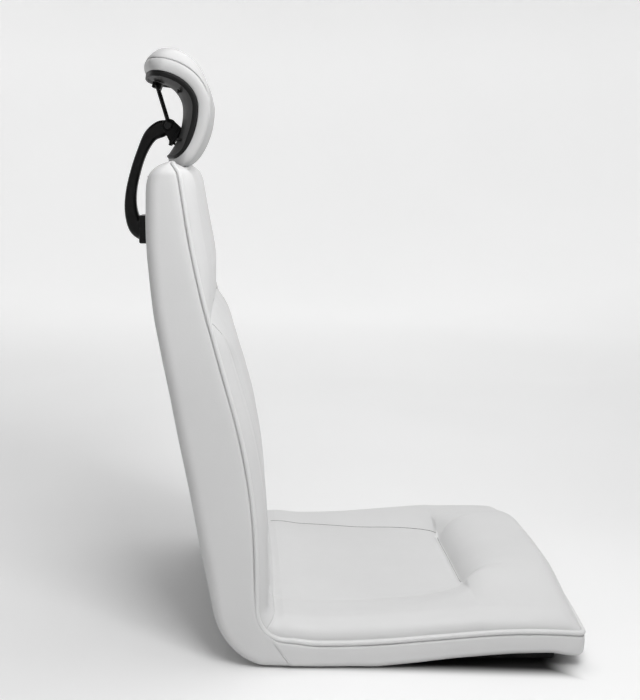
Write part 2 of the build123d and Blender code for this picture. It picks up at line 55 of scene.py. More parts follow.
# ---- Driving sizes that the frame does not hold ----
CORD_R = 0.0038           # piping
SKIN = 0.002              # leather
CORNER_R = 0.045          # the piping turns the seat's inner corner on this radius
EDGE_GAP = 0.0026         # the padding starts to rise this far in from the cord's middle
ROLL = 0.034              # how far in from the piping the padding rolls up to its height
SIDE_ROUND = 0.020        # rounding from the back's sides to its rear
BOTTOM_ROUND = 0.009      # rounding from the seat's boxing to its underside
TOP_LEAN = 0.010          # the piping leans back this much more at the shoulders' top
PAD_SHARE = 0.62          # half width of the middle pads as a share of the half width there
SIDE_GAP = 0.003          # the padding's outermost points lie this far inside the sides
STRIP_BULGE = 0.0022      # how far the panels between piping and edge swell outward
SHOULDER_RUN = 0.030      # the back's shoulders turn over within this width
SHOULDER_DROP = 0.004     # and end this far under the piping's top
LEVEL_Z = 0.18            # above this height the back's cross sections are level
NEAR_SIDE_X = -0.24       # rays that look for the lower edge and the heel are sent here


# ================= Reading the frame =================
def tree_of(*names):
    """A ray target made of some CAD nodes."""
    points, faces = [], []
    for name in names:
        mesh = frame["nodes"][name].data
        start = len(points)
        points += [v.co.copy() for v in mesh.vertices]
        faces += [[start + i for i in p.vertices] for p in mesh.polygons]
    return BVHTree.FromPolygons(points, faces)


def hit(tree, origin, direction):
    """Where a ray first meets the target, or None."""
    return tree.ray_cast(Vector(origin), Vector(direction).normalized())[0]


SKIN_TREE = tree_of("rear_cover", "seat_boxing", "back_gusset_left", "back_gusset_right")
CORD_TREE = tree_of("edge_piping")
CHAIR_TREE = tree_of("rear_cover", "seat_boxing", "back_cover", "seat_cover", "edge_piping")

SIDE_LOW = hit(SKIN_TREE, (-1, 0.02, 0.03), (1, 0, 0))
SIDE_HIGH = hit(SKIN_TREE, (-1, 0.36, 0.70), (1, 0, 0))


def half_width(z):
    """Half of the chair's width at a height: its sides lean in evenly."""
    share = (z - SIDE_LOW.z) / (SIDE_HIGH.z - SIDE_LOW.z)
    return -(SIDE_LOW.x + (SIDE_HIGH.x - SIDE_LOW.x) * share)


def cord_hit(y, z, dy, dz):
    """The middle of the piping on the side of the chair, along a ray in the side view."""
    for inset in (0.0015, 0.0, -0.0015):
        x = -(half_width(z) - inset)
        lean = (SIDE_HIGH.x - SIDE_LOW.x) / (SIDE_HIGH.z - SIDE_LOW.z) * dz
        found = hit(CORD_TREE, (x, y, z), (lean, dy, dz))
        if found:
            return found.y + dy * 0.003, found.z + dz * 0.003
    return None


BACK_SEAM_Y = cord_hit(0.0, 0.12, 1, 0)[0]
SEAT_SEAM_Z = cord_hit(0.10, 0.20, 0, -1)[1]
SPINE_Y = BACK_SEAM_Y - CORNER_R
SPINE_Z = SEAT_SEAM_Z + CORNER_R
SEAT_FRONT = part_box("edge_piping")[0].y + 0.003
SHOULDER_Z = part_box("edge_piping")[1].z - 0.003
SIDE_TOP_Z = SHOULDER_Z - 0.028


def smooth(a, b, x):
    """0 below a, 1 above b, and smooth between."""
    t = np.clip((np.asarray(x, float) - a) / (b - a), 0, 1)
    return t * t * (3 - 2 * t)


def edge_rise(distance, width, power=0.6):
    """How padding climbs from its piping: steep at first, level from one width in."""
    t = np.clip(np.asarray(distance, float) / width, 0, 1)
    return (1 - (1 - t) ** 2) ** power


def groove(x, width):
    """A narrow dip, 1 at its middle."""
    return np.exp(-(np.asarray(x, float) / width) ** 2)


def quarter(count):
    """The angles of a quarter turn, without its start."""
    return np.linspace(0, math.pi / 2, count)[1:]


def unit(vectors):
    """The same vectors, one metre long."""
    return vectors / np.maximum(np.linalg.norm(vectors, axis=-1), 1e-12)[..., None]


def curve_length(points):
    """The run along a line of points, from 0."""
    steps = np.linalg.norm(np.diff(points, axis=0), axis=1)
    return np.concatenate([[0], np.cumsum(steps)])


def spaced(points, count):
    """The same line with its points spread evenly."""
    run = curve_length(points)
    at = np.linspace(0, run[-1], count)
    return np.stack([np.interp(at, run, points[:, k]) for k in range(points.shape[1])], -1)


# ---- The side view's lines, read from the frame ----
SEAT_YS = np.linspace(SEAT_FRONT + 0.004, SPINE_Y, 60)
SEAT_SEAM = np.array([cord_hit(y, SPINE_Z, 0, -1)[1] for y in SEAT_YS])
BACK_ZS = np.linspace(SPINE_Z, SIDE_TOP_Z, 80)
BACK_SEAM = np.array([cord_hit(SPINE_Y, z, 1, 0)[0] for z in BACK_ZS])
BACK_REAR = np.array([hit(SKIN_TREE, (0.1, 1, z), (0, -1, 0)).y for z in BACK_ZS])
SEAM_SLOPE = (BACK_SEAM[-1] - BACK_SEAM[-8]) / (BACK_ZS[-1] - BACK_ZS[-8])
SEAM_DROP = 0.0045        # the cord's middle hangs this far below the seat's seam


def seat_seam_z(y):
    """The piping's height along the seat."""
    return np.interp(y, SEAT_YS, SEAT_SEAM) - SEAM_DROP * smooth(SPINE_Y, SPINE_Y - 0.05, y)


def back_seam_y(z):
    """The piping's depth up the back, carried on straight above the shoulders."""
    straight = np.interp(z, BACK_ZS, BACK_SEAM) + np.maximum(np.asarray(z) - SIDE_TOP_Z, 0) * SEAM_SLOPE
    return straight + TOP_LEAN * smooth(SIDE_TOP_Z, SHOULDER_Z, z) ** 1.5


ROOF_DROP = 0.048         # the back's top curves down to its rear over this height
ROOF_POWER = 2.1          # a superellipse: 2 would be round, more is squarer


def rear_y(z):
    """The depth of the back's rear face at a height, curving forward over the top."""
    flat = np.interp(z, BACK_ZS, BACK_REAR)
    low = float(back_seam_y(SHOULDER_Z))
    f = np.clip((SHOULDER_Z - np.asarray(z, float)) / ROOF_DROP, 0, 1)
    roof = low + (float(BACK_REAR[-1]) - low) * (1 - (1 - f) ** ROOF_POWER) ** (1 / ROOF_POWER)
    return np.where(f < 1, np.minimum(roof, flat), flat)


FLOOR_GAP = 0.0030        # the leather's outer face stays this far above the floor


def under_z(y):
    """The height of the boxing's lower edge along the seat's side."""
    flat = np.maximum(np.atleast_1d(y), SEAT_FRONT + 0.030)
    return np.array([max(hit(SKIN_TREE, (NEAR_SIDE_X, v, -1), (0, 0, 1)).z, FLOOR_GAP) for v in flat])


def heel_point(angle):
    """A point of the rounded heel under the back, at an angle from straight down."""
    out = Vector((0, math.sin(angle), -math.cos(angle)))
    middle = Vector((NEAR_SIDE_X, SPINE_Y, SPINE_Z))
    found = hit(SKIN_TREE, middle + out * 0.5, -out)
    return found.y, max(found.z, FLOOR_GAP)


DISH_X = np.linspace(0, half_width(SIDE_TOP_Z) - 0.0005, 120)
TOP_CAST = [hit(CHAIR_TREE, (x, 0.355, 1), (0, 0, -1)).z for x in DISH_X[:-12]]


def top_z(x):
    """The height of the back's top edge at a width: a dished middle and round shoulders."""
    x = np.abs(np.asarray(x, float))
    side = half_width(SIDE_TOP_Z)
    start = side - SHOULDER_RUN
    shoulder = SHOULDER_Z - SHOULDER_DROP
    arc = SIDE_TOP_Z + (shoulder - SIDE_TOP_Z) * np.sqrt(
        np.clip(1 - ((x - start) / (side - start)) ** 2, 0, 1)
    )
    dish = np.interp(x, DISH_X[: len(TOP_CAST)], TOP_CAST)
    return np.where(x > start, arc, np.minimum(dish, shoulder))


FRONT_CORNER = 0.012      # plan radius of the seat's front corners
FRONT_BOW = 0.013         # the seat's front edge bows forward in its middle


def front_y(x, w):
    """The seat's front edge at a width, with its rounded plan corners."""
    r = FRONT_CORNER - 0.002
    past = np.clip(np.abs(x) - (w - r), 0, r)
    bow = FRONT_BOW * (1 - np.clip(np.abs(x) / w, 0, 1) ** 2)
    return SEAT_FRONT + 0.003 + r - np.sqrt(r * r - past * past) - bow


# ================= Mesh helpers =================
def quads(name, points, closed=False):
    """A mesh of quads from an array of rows and columns of points."""
    rows, cols = points.shape[:2]
    mesh = bpy.data.meshes.new(name)
    faces = []
    for i in range(rows - 1):
        for j in range(cols if closed else cols - 1):
            k = (j + 1) % cols
            faces.append((i * cols + j, i * cols + k, (i + 1) * cols + k, (i + 1) * cols + j))
    mesh.from_pydata([tuple(p) for p in points.reshape(-1, 3)], [], faces)
    mesh.update()
    return mesh


def put_in_scene(name, data):
    """A new object that holds a mesh, a lamp or a camera."""
    obj = bpy.data.objects.new(name, data)
    bpy.context.scene.collection.objects.link(obj)
    return obj


def grid_mesh(name, points, closed=False):
    """A sheet of quads as an object."""
    return put_in_scene(name, quads(name, points, closed))


def apply_modifiers(obj):
    """Bakes the modifiers into the mesh."""
    graph = bpy.context.evaluated_depsgraph_get()
    mesh = bpy.data.meshes.new_from_object(obj.evaluated_get(graph))
    obj.modifiers.clear()
    obj.data = mesh
    return obj


def thicken(obj, thickness=SKIN, offset=-1.0):
    """Gives a sheet its thickness, so that it is a closed solid."""
    modifier = obj.modifiers.new("thickness", "SOLIDIFY")
    modifier.thickness = thickness
    modifier.offset = offset
    modifier.use_even_offset = False
    return apply_modifiers(obj)


@contextmanager
def editing(obj):
    """An object's mesh, open for editing and put back at the end."""
    bm = bmesh.new()
    bm.from_mesh(obj.data)
    yield bm
    bm.to_mesh(obj.data)
    bm.free()


def facing(obj, inside):
    """Turns the normals away from a point inside the object."""
    inside = Vector(inside)
    with editing(obj) as bm:
        score = sum((f.calc_center_median() - inside).dot(f.normal) * f.calc_area() for f in bm.faces)
        if score < 0:
            bmesh.ops.reverse_faces(bm, faces=bm.faces)
    return obj


def shade_smooth(obj):
    """Smooth shading on every face."""
    for polygon in obj.data.polygons:
        polygon.use_smooth = True
    return obj


def tube(name, path, radius, sides=12, closed=False, up=(0, 0, 1)):
    """A round cord swept along a path of points, with its turns kept untwisted."""
    path = np.asarray(path, float)
    count = len(path)
    ahead = np.roll(path, -1, 0) - np.roll(path, 1, 0)
    if not closed:
        ahead[0], ahead[-1] = path[1] - path[0], path[-1] - path[-2]
    ahead = unit(ahead)
    side = unit(np.cross(ahead[0], up))
    rings = np.zeros((count, sides, 3))
    angles = np.linspace(0, 2 * math.pi, sides, endpoint=False)
    for i in range(count):
        side = unit(side - ahead[i] * side.dot(ahead[i]))
        other = np.cross(ahead[i], side)
        turned = np.outer(np.cos(angles), side) + np.outer(np.sin(angles), other)
        rings[i] = path[i] + radius * turned
    if closed:
        rings = np.concatenate([rings, rings[:1]])
    return grid_mesh(name, rings, closed=True)


def soft_noise(points, scale, seed):
    """Smooth repeatable unevenness, -1 to 1, one value a point."""
    shift = Vector((seed * 7.3, seed * 3.1, seed * 5.7))
    values = [noise.noise(Vector(p) / scale + shift) for p in points.reshape(-1, 3)]
    return np.array(values).reshape(points.shape[:-1])


# ================= The padded front =================
VALLEY_Z = 0.528          # the shoulder pad meets the lumbar pad here
VALLEY_TOP = 0.548        # the side bolsters taper out here


def back_seam_x(w, z):
    """How far out the lumbar pad's side seams lie: they run out to the piping at the top."""
    pad_edge = PAD_SHARE * w
    return pad_edge + (w - 0.006 - pad_edge) * smooth(0.44, VALLEY_TOP, z)


def back_crown(x, w, z):
    """How far the back's padding stands proud of its piping."""
    x = np.abs(x)
    seam = back_seam_x(w, z)
    above = edge_rise(z - VALLEY_Z, 0.105, 1.4)
    below = edge_rise(VALLEY_Z - z, 0.070, 1.4)
    pad = 0.0025 + 0.0195 * np.where(z > VALLEY_Z, above, below)
    bolster = 0.0165 + 0.0025 * smooth(0.5, 0.3, z)
    inside = smooth(seam + 0.004, seam - 0.040, x)
    bolster = pad + (bolster - pad) * smooth(VALLEY_TOP, 0.46, z)
    height = bolster + (pad - bolster) * inside
    height -= 0.0030 * groove(x - seam, 0.0035) * smooth(VALLEY_TOP, 0.46, z)
    height -= 0.0030 * groove(z - VALLEY_Z, 0.0040)
    side_rise = edge_rise(w - x - EDGE_GAP, ROLL)
    return height * side_rise * edge_rise(top_z(x) - z - EDGE_GAP, 0.036)


TUCK_Y = -0.131           # the front roll meets the seat panel in this crosswise tuck
TUCK_HALF = 0.106         # half of the tuck's width
SEAT_SEAM_X = 0.150       # the seat panel's side seams, before they turn in to the tuck
TUCK_DEPTH = 0.0075       # padding left over the piping's level at the bottom of the tuck
BOLSTER = 0.029           # the side bolsters' height over the piping
ROLL_HEIGHT = 0.055       # the front roll's height in its middle
ROLL_SIDE = 0.024         # and at its ends
PANEL_LOW = 0.0125        # the seat panel's height over the piping at the tuck
PANEL_RISE = 0.0150       # and how much it gains towards the back


def seat_seam_x(y):
    """How far out the seat panel's side seams lie: they curve in to the tuck's ends."""
    y = np.asarray(y, float)
    turn = np.clip((-0.035 - y) / (-0.035 - TUCK_Y), 0, 1)
    side = SEAT_SEAM_X + 0.022 * smooth(-0.12, SPINE_Y, y)
    return side - (SEAT_SEAM_X - TUCK_HALF) * (1 - np.sqrt(1 - 0.999 * turn ** 1.9))


def seat_crown(x, w, y, front):
    """How far the seat's padding stands proud of its piping."""
    x = np.abs(x)
    y = y + 0 * x
    ahead = TUCK_Y - y
    forward = np.maximum(ahead, 0)
    seam = np.where(ahead < 0, seat_seam_x(y), TUCK_HALF + 0.14 * forward)
    dome = 0.003 * (1 - np.clip(x / seam, 0, 1) ** 2)
    panel = PANEL_LOW + PANEL_RISE * smooth(TUCK_Y, 0.17, y) + dome
    in_tuck = smooth(TUCK_HALF + 0.004, TUCK_HALF - 0.012, x)
    panel -= (PANEL_LOW - TUCK_DEPTH) * groove(ahead, 0.0050) * in_tuck
    behind = BOLSTER + (panel - BOLSTER) * smooth(seam + 0.058, seam - 0.022, x)
    behind -= 0.0007 * groove(x - seam, 0.0040)
    start = BOLSTER + (TUCK_DEPTH - BOLSTER) * smooth(TUCK_HALF + 0.030, TUCK_HALF - 0.004, x)
    roll = ROLL_SIDE + (ROLL_HEIGHT - ROLL_SIDE) * smooth(0.252, 0.080, x)
    before = start + (roll - start) * (1 - np.exp(-forward / 0.024))
    fold = groove(x - seam, 0.010) * np.exp(-forward / 0.040) * smooth(0, 0.012, forward)
    before -= 0.0045 * fold
    height = np.where(ahead < 0, behind, before)
    side_rise = edge_rise(w - x - EDGE_GAP, ROLL)
    return height * side_rise * edge_rise(y - front - 0.0015, 0.034, 0.6)


def dense_near(start, end, count, places, width, extra):
    """Stations from start to end, closer together near the given places."""
    fine = np.linspace(start, end, 2000)
    density = 1 + sum(extra * groove(fine - place, width) for place in places)
    run = np.concatenate([[0], np.cumsum((density[1:] + density[:-1]) / 2)])
    return np.interp(np.linspace(0, run[-1], count), run, fine)


def front_surface(columns, seat_rows, corner_rows, back_rows):
    """The whole sitting side as one grid, from the seat's front edge to the back's top edge."""
    even = np.linspace(-1, 1, columns)
    u = np.sin(even * math.pi / 2) * 0.72 + even * 0.28
    rows = []
    seat_w = half_width(SEAT_SEAM_Z) - SIDE_GAP
    x = u * seat_w
    front = front_y(x, seat_w)
    for station in dense_near(SEAT_FRONT, SPINE_Y, seat_rows, (TUCK_Y - 0.003, SEAT_FRONT), 0.016, 3):
        share = (station - SEAT_FRONT) / (SPINE_Y - SEAT_FRONT)
        y = station + (front - SEAT_FRONT) * (1 - share) ** 3
        z = seat_seam_z(y) + seat_crown(x, seat_w, y, front)
        rows.append(np.stack([x, y, z], -1))
    for s in np.linspace(0, 1, corner_rows)[1:-1]:
        angle = s * math.pi / 2
        w = half_width(SPINE_Z - CORNER_R * math.cos(angle)) - SIDE_GAP
        x = u * w
        low = seat_crown(x, w, np.full_like(x, SPINE_Y), front)
        high = back_crown(x, w, np.full_like(x, SPINE_Z))
        crown = low + (high - low) * smooth(0, 1, s)
        reach = CORNER_R - crown * (1 - 0.08 * groove((s - 0.5) * 0.055, 0.011))
        y = SPINE_Y + reach * math.sin(angle)
        z = SPINE_Z - reach * math.cos(angle)
        rows.append(np.stack([x, y, z], -1))
    for station in dense_near(SPINE_Z, SIDE_TOP_Z, back_rows, (VALLEY_Z, SIDE_TOP_Z), 0.016, 2):
        share = (station - SPINE_Z) / (SIDE_TOP_Z - SPINE_Z)
        w = half_width(station) - SIDE_GAP
        x = u * w
        z = SPINE_Z + (top_z(x) - SPINE_Z) * share
        y = back_seam_y(z) - back_crown(x, w, z)
        rows.append(np.stack([x, y, z], -1))
    return np.array(rows)


# ================= The strips round the sides =================
MITRE_SEAM = 45.3         # degrees round the inner corner where gusset and boxing meet


def strip_grid(start, end, inward, depth_round, inset_round, tuck):
    """Cross sections from the piping to the outer edge, round it and a little way inward.

    start, end: the piping and the sharp outer edge of each section; inward: its level direction.
    """
    start, end, inward = (np.asarray(v, float) for v in (start, end, inward))
    across = end - start
    length = np.linalg.norm(across, axis=1)[:, None]
    run = across / length
    rd = np.minimum(np.broadcast_to(depth_round, len(start))[:, None], length * 0.92)
    rn = np.broadcast_to(inset_round, len(start))[:, None]
    tuck = np.broadcast_to(tuck, len(start))[:, None]
    sections = []
    for t in np.concatenate([np.linspace(0, 0.12, 9), np.linspace(0.12, 1, 20)[1:]]):
        along = (length - rd) * t
        by_cord = 0.0030 * smooth(0.0062, 0.0034, along)
        lift = STRIP_BULGE * edge_rise(along - CORD_R, 0.016, 0.7) - by_cord
        sections.append(start + run * along - inward * lift)
    for angle in quarter(11):
        c, s = math.cos(angle), math.sin(angle)
        along = length - rd * (1 - s) + STRIP_BULGE * 0.5 * s
        sections.append(start + run * along + inward * (rn * (1 - c) - STRIP_BULGE * c))
    edge = sections[-1]
    for t in np.linspace(0, 1, 6)[1:]:
        sections.append(edge + inward * tuck * t - run * (0.0020 * t ** 3))
    return np.array(sections).transpose(1, 0, 2)


FRONT_SLOPE = 0.006       # the boxing's front leans back this much to its lower edge
FRONT_LOWER = 0.004       # which hangs this much lower there than along the sides


def seat_strip_lines():
    """Piping point, lower edge point and inward direction round half of the seat, x above 0."""
    sections = []
    r = FRONT_CORNER
    for y in np.linspace(SPINE_Y + CORNER_R * math.sin(math.radians(MITRE_SEAM)), SEAT_FRONT + r, 60):
        if y > SPINE_Y:
            z = SPINE_Z - math.sqrt(CORNER_R ** 2 - (y - SPINE_Y) ** 2)
        else:
            z = float(seat_seam_z(y))
        near_front = float(smooth(SEAT_FRONT + 0.060, SEAT_FRONT + r, y))
        y_end = y - 0.039 * float(smooth(0.09, 0.209, y)) + FRONT_SLOPE * near_front
        z_end = float(under_z(y_end)[0]) - FRONT_LOWER * near_front
        sections.append(((half_width(z), y, z), (half_width(z_end), y_end, z_end), (-1, 0, 0)))
    z = float(seat_seam_z(SEAT_FRONT))
    z_end = float(under_z(SEAT_FRONT)[0]) - FRONT_LOWER
    across, y = np.array([half_width(z), half_width(z_end)]), np.array([0, FRONT_SLOPE]) + SEAT_FRONT
    for angle in quarter(16):
        c, s = math.cos(angle), math.sin(angle)
        (x, x_end), (near, far) = across - r + r * c, y + r - r * s
        sections.append(((x, near, z), (x_end, far, z_end), (-c, s, 0)))
    for share in np.linspace(1, 0, 30)[1:]:
        (x, x_end), (near, far) = (across - r) * share, y - FRONT_BOW * (1 - share ** 2)
        sections.append(((x, near, z), (x_end, far, z_end), (0, 1, 0)))
    return np.array(sections).transpose(1, 0, 2)


def back_strip_lines():
    """The same round half of the back: up the side, over the shoulder, along the top."""
    turns = np.radians(np.linspace(MITRE_SEAM, 90, 16))
    zs = np.linspace(SPINE_Z, LEVEL_Z, 12)[1:]
    seam = [(SPINE_Y + CORNER_R * math.sin(a), SPINE_Z - CORNER_R * math.cos(a)) for a in turns]
    seam += [(float(back_seam_y(z)), z) for z in zs]
    rear = [heel_point(a) for a in np.radians(np.linspace(-8, 90, 40))]
    rear += [(float(np.interp(z, BACK_ZS, BACK_REAR)), z) for z in zs]
    sections = []
    for (y, z), (y_end, z_end) in zip(spaced(np.array(seam), 40), spaced(np.array(rear), 40)):
        sections.append(((half_width(z), y, z), (half_width(z_end), y_end, z_end), (-1, 0, 0)))
    level = [(half_width(z), z, (-1, 0, 0)) for z in np.linspace(LEVEL_Z, SIDE_TOP_Z, 90)[1:]]
    inner, rise = half_width(SIDE_TOP_Z) - SHOULDER_RUN, SHOULDER_Z - SHOULDER_DROP - SIDE_TOP_Z
    for angle in quarter(22):
        c, s = math.cos(angle), math.sin(angle)
        level.append((inner + SHOULDER_RUN * c, SIDE_TOP_Z + rise * s, (-c, 0, -s)))
    level += [(x, float(top_z(x)), (0, 0, -1)) for x in inner * np.linspace(1, 0, 50)[1:]]
    for x, z, way in level:
        sections.append(((x, float(back_seam_y(z)), z), (x, float(rear_y(z)), z), way))
    return np.array(sections).transpose(1, 0, 2)


def mirrored(points):
    """A grid's twin on the other side."""
    return points * np.array([-1, 1, 1])


# ================= Materials =================
SHOWN = {}


class Nodes:
    """A short way to write a node material."""

    def __init__(self, name):
        self.material = bpy.data.materials.new(name)
        self.material.use_nodes = True
        self.tree = self.material.node_tree
        self.shader = self.tree.nodes["Principled BSDF"]
        self.place = self.add("ShaderNodeTexCoord").outputs["Object"]
        SHOWN[name] = self.material

    def add(self, kind, **settings):
        """A new node; each setting is an input's value or a property."""
        node = self.tree.nodes.new(kind)
        for key, value in settings.items():
            if key in node.inputs:
                node.inputs[key].default_value = value
            else:
                setattr(node, key, value)
        return node

    def join(self, output, target):
        """Links an output to an input."""
        self.tree.links.new(output, target)

    def noise(self, scale, detail=2.0, roughness=0.5, stretch=None):
        """Fractal noise over the object, in cells per metre."""
        node = self.add("ShaderNodeTexNoise", Scale=scale, Detail=detail, Roughness=roughness)
        place = self.place
        if stretch:
            mapping = self.add("ShaderNodeMapping", Scale=stretch)
            self.join(place, mapping.inputs["Vector"])
            place = mapping.outputs["Vector"]
        self.join(place, node.inputs["Vector"])
        return node.outputs["Fac"]

    def cells(self, scale, feature="DISTANCE_TO_EDGE"):
        """Voronoi cells over the object, in cells per metre."""
        node = self.add("ShaderNodeTexVoronoi", feature=feature, Scale=scale)
        self.join(self.place, node.inputs["Vector"])
        return node.outputs["Distance"]

    def spread(self, value, low, high):
        """Maps 0..1 to low..high."""
        return self.step(value, (0, 1), (low, high), "LINEAR")

    def step(self, value, limits, results, kind="SMOOTHSTEP"):
        """Runs from one result to the other between two limits, and stays level outside them."""
        node = self.add("ShaderNodeMapRange", interpolation_type=kind)
        for key, number in zip(("From Min", "From Max", "To Min", "To Max"), (*limits, *results)):
            node.inputs[key].default_value = number
        self.join(value, node.inputs["Value"])
        return node.outputs["Result"]

    def colours(self, value, *stops):
        """A colour ramp: each stop is a position and a colour."""
        node = self.add("ShaderNodeValToRGB")
        ramp = node.color_ramp
        while len(ramp.elements) < len(stops):
            ramp.elements.new(0.5)
        for element, (position, colour) in zip(ramp.elements, stops):
            element.position = position
            element.color = (*colour, 1)
        self.join(value, node.inputs["Fac"])
        return node.outputs["Color"]

    def sum(self, a, b, share=0.5, kind="ADD"):
        """Puts a and a share of b together, by adding or by another operation."""
        node = self.add("ShaderNodeMath", operation=kind)
        self.join(a, node.inputs[0])
        scaled = self.add("ShaderNodeMath", operation="MULTIPLY")
        self.join(b, scaled.inputs[0])
        scaled.inputs[1].default_value = share
        self.join(scaled.outputs[0], node.inputs[1])
        return node.outputs[0]

    def bump(self, height, depth, strength=1.0):
        """Raises the surface by the height map, depth metres from 0 to 1."""
        node = self.add("ShaderNodeBump", Strength=strength, Distance=depth)
        self.join(height, node.inputs["Height"])
        self.join(node.outputs["Normal"], self.shader.inputs["Normal"])

    def set(self, **inputs):
        """Sets or links the shader's inputs."""
        for key, value in inputs.items():
            target = self.shader.inputs[key.replace("_", " ")]
            if hasattr(value, "links"):
                self.join(value, target)
            else:
                target.default_value = value


def grey(level):
    """A neutral colour."""
    return (level, level, level)


def leather(name, level):
    """Smooth coated leather: faint pebble grain, faint creasing, soft sheen."""
    m = Nodes(name)
    tone = m.noise(5.0, 3.0)
    colour = m.colours(tone, (0.30, grey(level * 0.965)), (0.70, grey(level * 1.02)))
    pebble = m.cells(820.0)
    fine = m.noise(260.0, 3.0)
    m.set(Base_Color=colour, Roughness=m.spread(m.noise(60.0), 0.40, 0.52))
    m.set(Specular_IOR_Level=0.42, Sheen_Weight=0.06, Sheen_Roughness=0.4)
    m.bump(m.sum(pebble, fine, 0.7), 0.00022, 0.55)
    return m.material


def plastic(name, level, rough_low, rough_high, grain_scale, grain_depth, shine=0.5):
    """Moulded plastic: fine texture and handling marks in its gloss."""
    m = Nodes(name)
    marks = m.noise(40.0, 4.0, 0.65)
    colour = m.colours(marks, (0.3, grey(level * 0.9)), (0.75, grey(level * 1.15)))
    m.set(Base_Color=colour, Roughness=m.spread(marks, rough_low, rough_high), Specular_IOR_Level=shine)
    m.bump(m.noise(grain_scale, 2.0), grain_depth, 0.6)
    return m.material


def metal(name, level, rough, metallic=1.0):
    """Steel with a fine grain."""
    m = Nodes(name)
    grain = m.noise(420.0, 3.0, 0.6)
    colour = m.colours(grain, (0.25, grey(level * 0.85)), (0.75, grey(level * 1.1)))
    m.set(Base_Color=colour, Metallic=metallic, Roughness=m.spread(grain, rough * 0.8, rough * 1.25))
    m.bump(grain, 0.00004, 0.5)
    return m.material


def plywood():
    """Birch faces with the grain along the board."""
    m = Nodes("plywood")
    grain = m.noise(18.0, 6.0, 0.6, stretch=(7, 1, 1))
    colour = m.colours(grain, (0.3, (0.50, 0.36, 0.22)), (0.7, (0.68, 0.52, 0.35)))
    m.set(Base_Color=colour, Roughness=0.7)
    m.bump(grain, 0.0003, 0.5)
    return m.material


def foam():
    """Open-cell polyurethane foam."""
    m = Nodes("seat_padding")
    pores = m.cells(700.0, "F1")
    colour = m.colours(pores, (0.0, (0.45, 0.40, 0.27)), (0.5, (0.80, 0.76, 0.60)))
    m.set(Base_Color=colour, Roughness=0.95)
    m.bump(pores, 0.0008, 0.8)
    return m.material


def dust_cloth():
    """Black spun-bond cloth with its grid of weld points."""
    m = Nodes("dust_cloth")
    points = m.cells(620.0, "F1")
    fibres = m.noise(900.0, 4.0)
    colour = m.colours(points, (0.1, grey(0.006)), (0.6, grey(0.014)))
    m.set(Base_Color=colour, Roughness=m.spread(fibres, 0.8, 1.0))
    m.bump(m.sum(points, fibres, 0.5), 0.0003, 0.8)
    return m.material


def paper_floor():
    """Pale studio paper, with a painted shadow under and beside the seat's raised front and a painted glow
    behind the chair.
    """
    m = Nodes("studio_paper")
    tone = m.colours(m.noise(1.4, 2.0), (0.3, grey(0.80)), (0.7, grey(0.82)))
    m.set(Roughness=0.9)
    m.bump(m.noise(500.0, 2.0), 0.0001, 0.2)
    axes = m.add("ShaderNodeSeparateXYZ")
    m.join(m.place, axes.inputs[0])
    # Painted light: the paper glows, more the further it lies behind the chair along +X, and so lights the
    # chair's far side like a lit backdrop.
    behind = m.step(axes.outputs["X"], (0.4, 3.2), (0, 0.36), "LINEAR")
    m.set(Emission_Color=(1, 1, 1, 1), Emission_Strength=behind)
    # Painted shadow: the paper turns nearly black under the chair and in a soft band beside its sides,
    # wider towards the seat's raised front.
    aside = m.add("ShaderNodeMath", operation="ABSOLUTE")
    m.join(axes.outputs["X"], aside.inputs[0])
    beside = m.step(m.sum(aside.outputs[0], axes.outputs["Y"], 0.065), (0.244, 0.282), (0, 1))
    before = m.step(axes.outputs["Y"], (-0.280, -0.225), (1, 0))
    rear = m.step(axes.outputs["Y"], (0.10, 0.19), (0, 1))
    light = m.sum(m.sum(beside, before, 1.0, "MAXIMUM"), rear, 1.0, "MAXIMUM")
    painted_shadow_mix = m.add("ShaderNodeMix", data_type="RGBA")
    painted_shadow_mix.inputs["A"].default_value = (0.003, 0.003, 0.003, 1)
    m.join(light, painted_shadow_mix.inputs["Factor"])
    m.join(tone, painted_shadow_mix.inputs["B"])
    m.set(Base_Color=painted_shadow_mix.outputs["Result"])
    return m.material


leather("grey_leather", 0.57)
# piping_leather is the chair's grey leather made a little lighter: painted light for the highlight along
# the cord's top
leather("piping_leather", 0.60)
# headrest_leather is the chair's grey leather made darker: painted shade that tones down the stronger
# light falling on the headrest
leather("headrest_leather", 0.475)
plastic("arm_plastic", 0.004, 0.16, 0.30, 1500.0, 0.00003, shine=0.30)
plastic("shell_plastic", 0.0065, 0.40, 0.55, 1900.0, 0.00010, shine=0.2)
plastic("nylon", 0.55, 0.35, 0.5, 1200.0, 0.00005)
plastic("rubber", 0.02, 0.7, 0.85, 800.0, 0.0001)
metal("zinc_steel", 0.55, 0.35)
metal("black_steel", 0.014, 0.34, metallic=0.4)
plywood()
foam()
dust_cloth()
# dark leather for the painted shade lines that stand in for the shadow in the seams' gaps
leather("seam_line", 0.10)


def place(obj, slot, body, *nodes):
    """Gives a new piece its material and its body, and hides the CAD nodes that it stands for."""
    shade_smooth(obj)
    obj.data.materials.clear()
    obj.data.materials.append(SHOWN[slot])
    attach(obj, body)
    if nodes:
        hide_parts(*nodes)
    return obj


# ================= The chair's covers =================
def cover(name, points, inside, *nodes):
    """A leather sheet from a grid: thick, smooth, facing out, fixed to the chair."""
    return place(thicken(facing(grid_mesh(name, points), inside)), "grey_leather", "chair", *nodes)


WAVE_DEPTH, WAVE_SCALE = 0.0007, 0.07     # the leather's waves: height and distance


def unevenness(points, seed):
    """The slight hand-made waviness of stuffed leather, along the grid's normals."""
    normal = unit(np.cross(np.gradient(points, axis=1), np.gradient(points, axis=0)))
    rise = soft_noise(points, WAVE_SCALE, seed) + soft_noise(points, WAVE_SCALE * 0.4, seed + 5) * 0.35
    rows, cols = (np.minimum(np.arange(n), np.arange(n)[::-1]) for n in points.shape[:2])
    border = np.minimum(rows / 4, 1)[:, None] * np.minimum(cols / 4, 1)
    return points + normal * (rise * WAVE_DEPTH * border)[..., None]


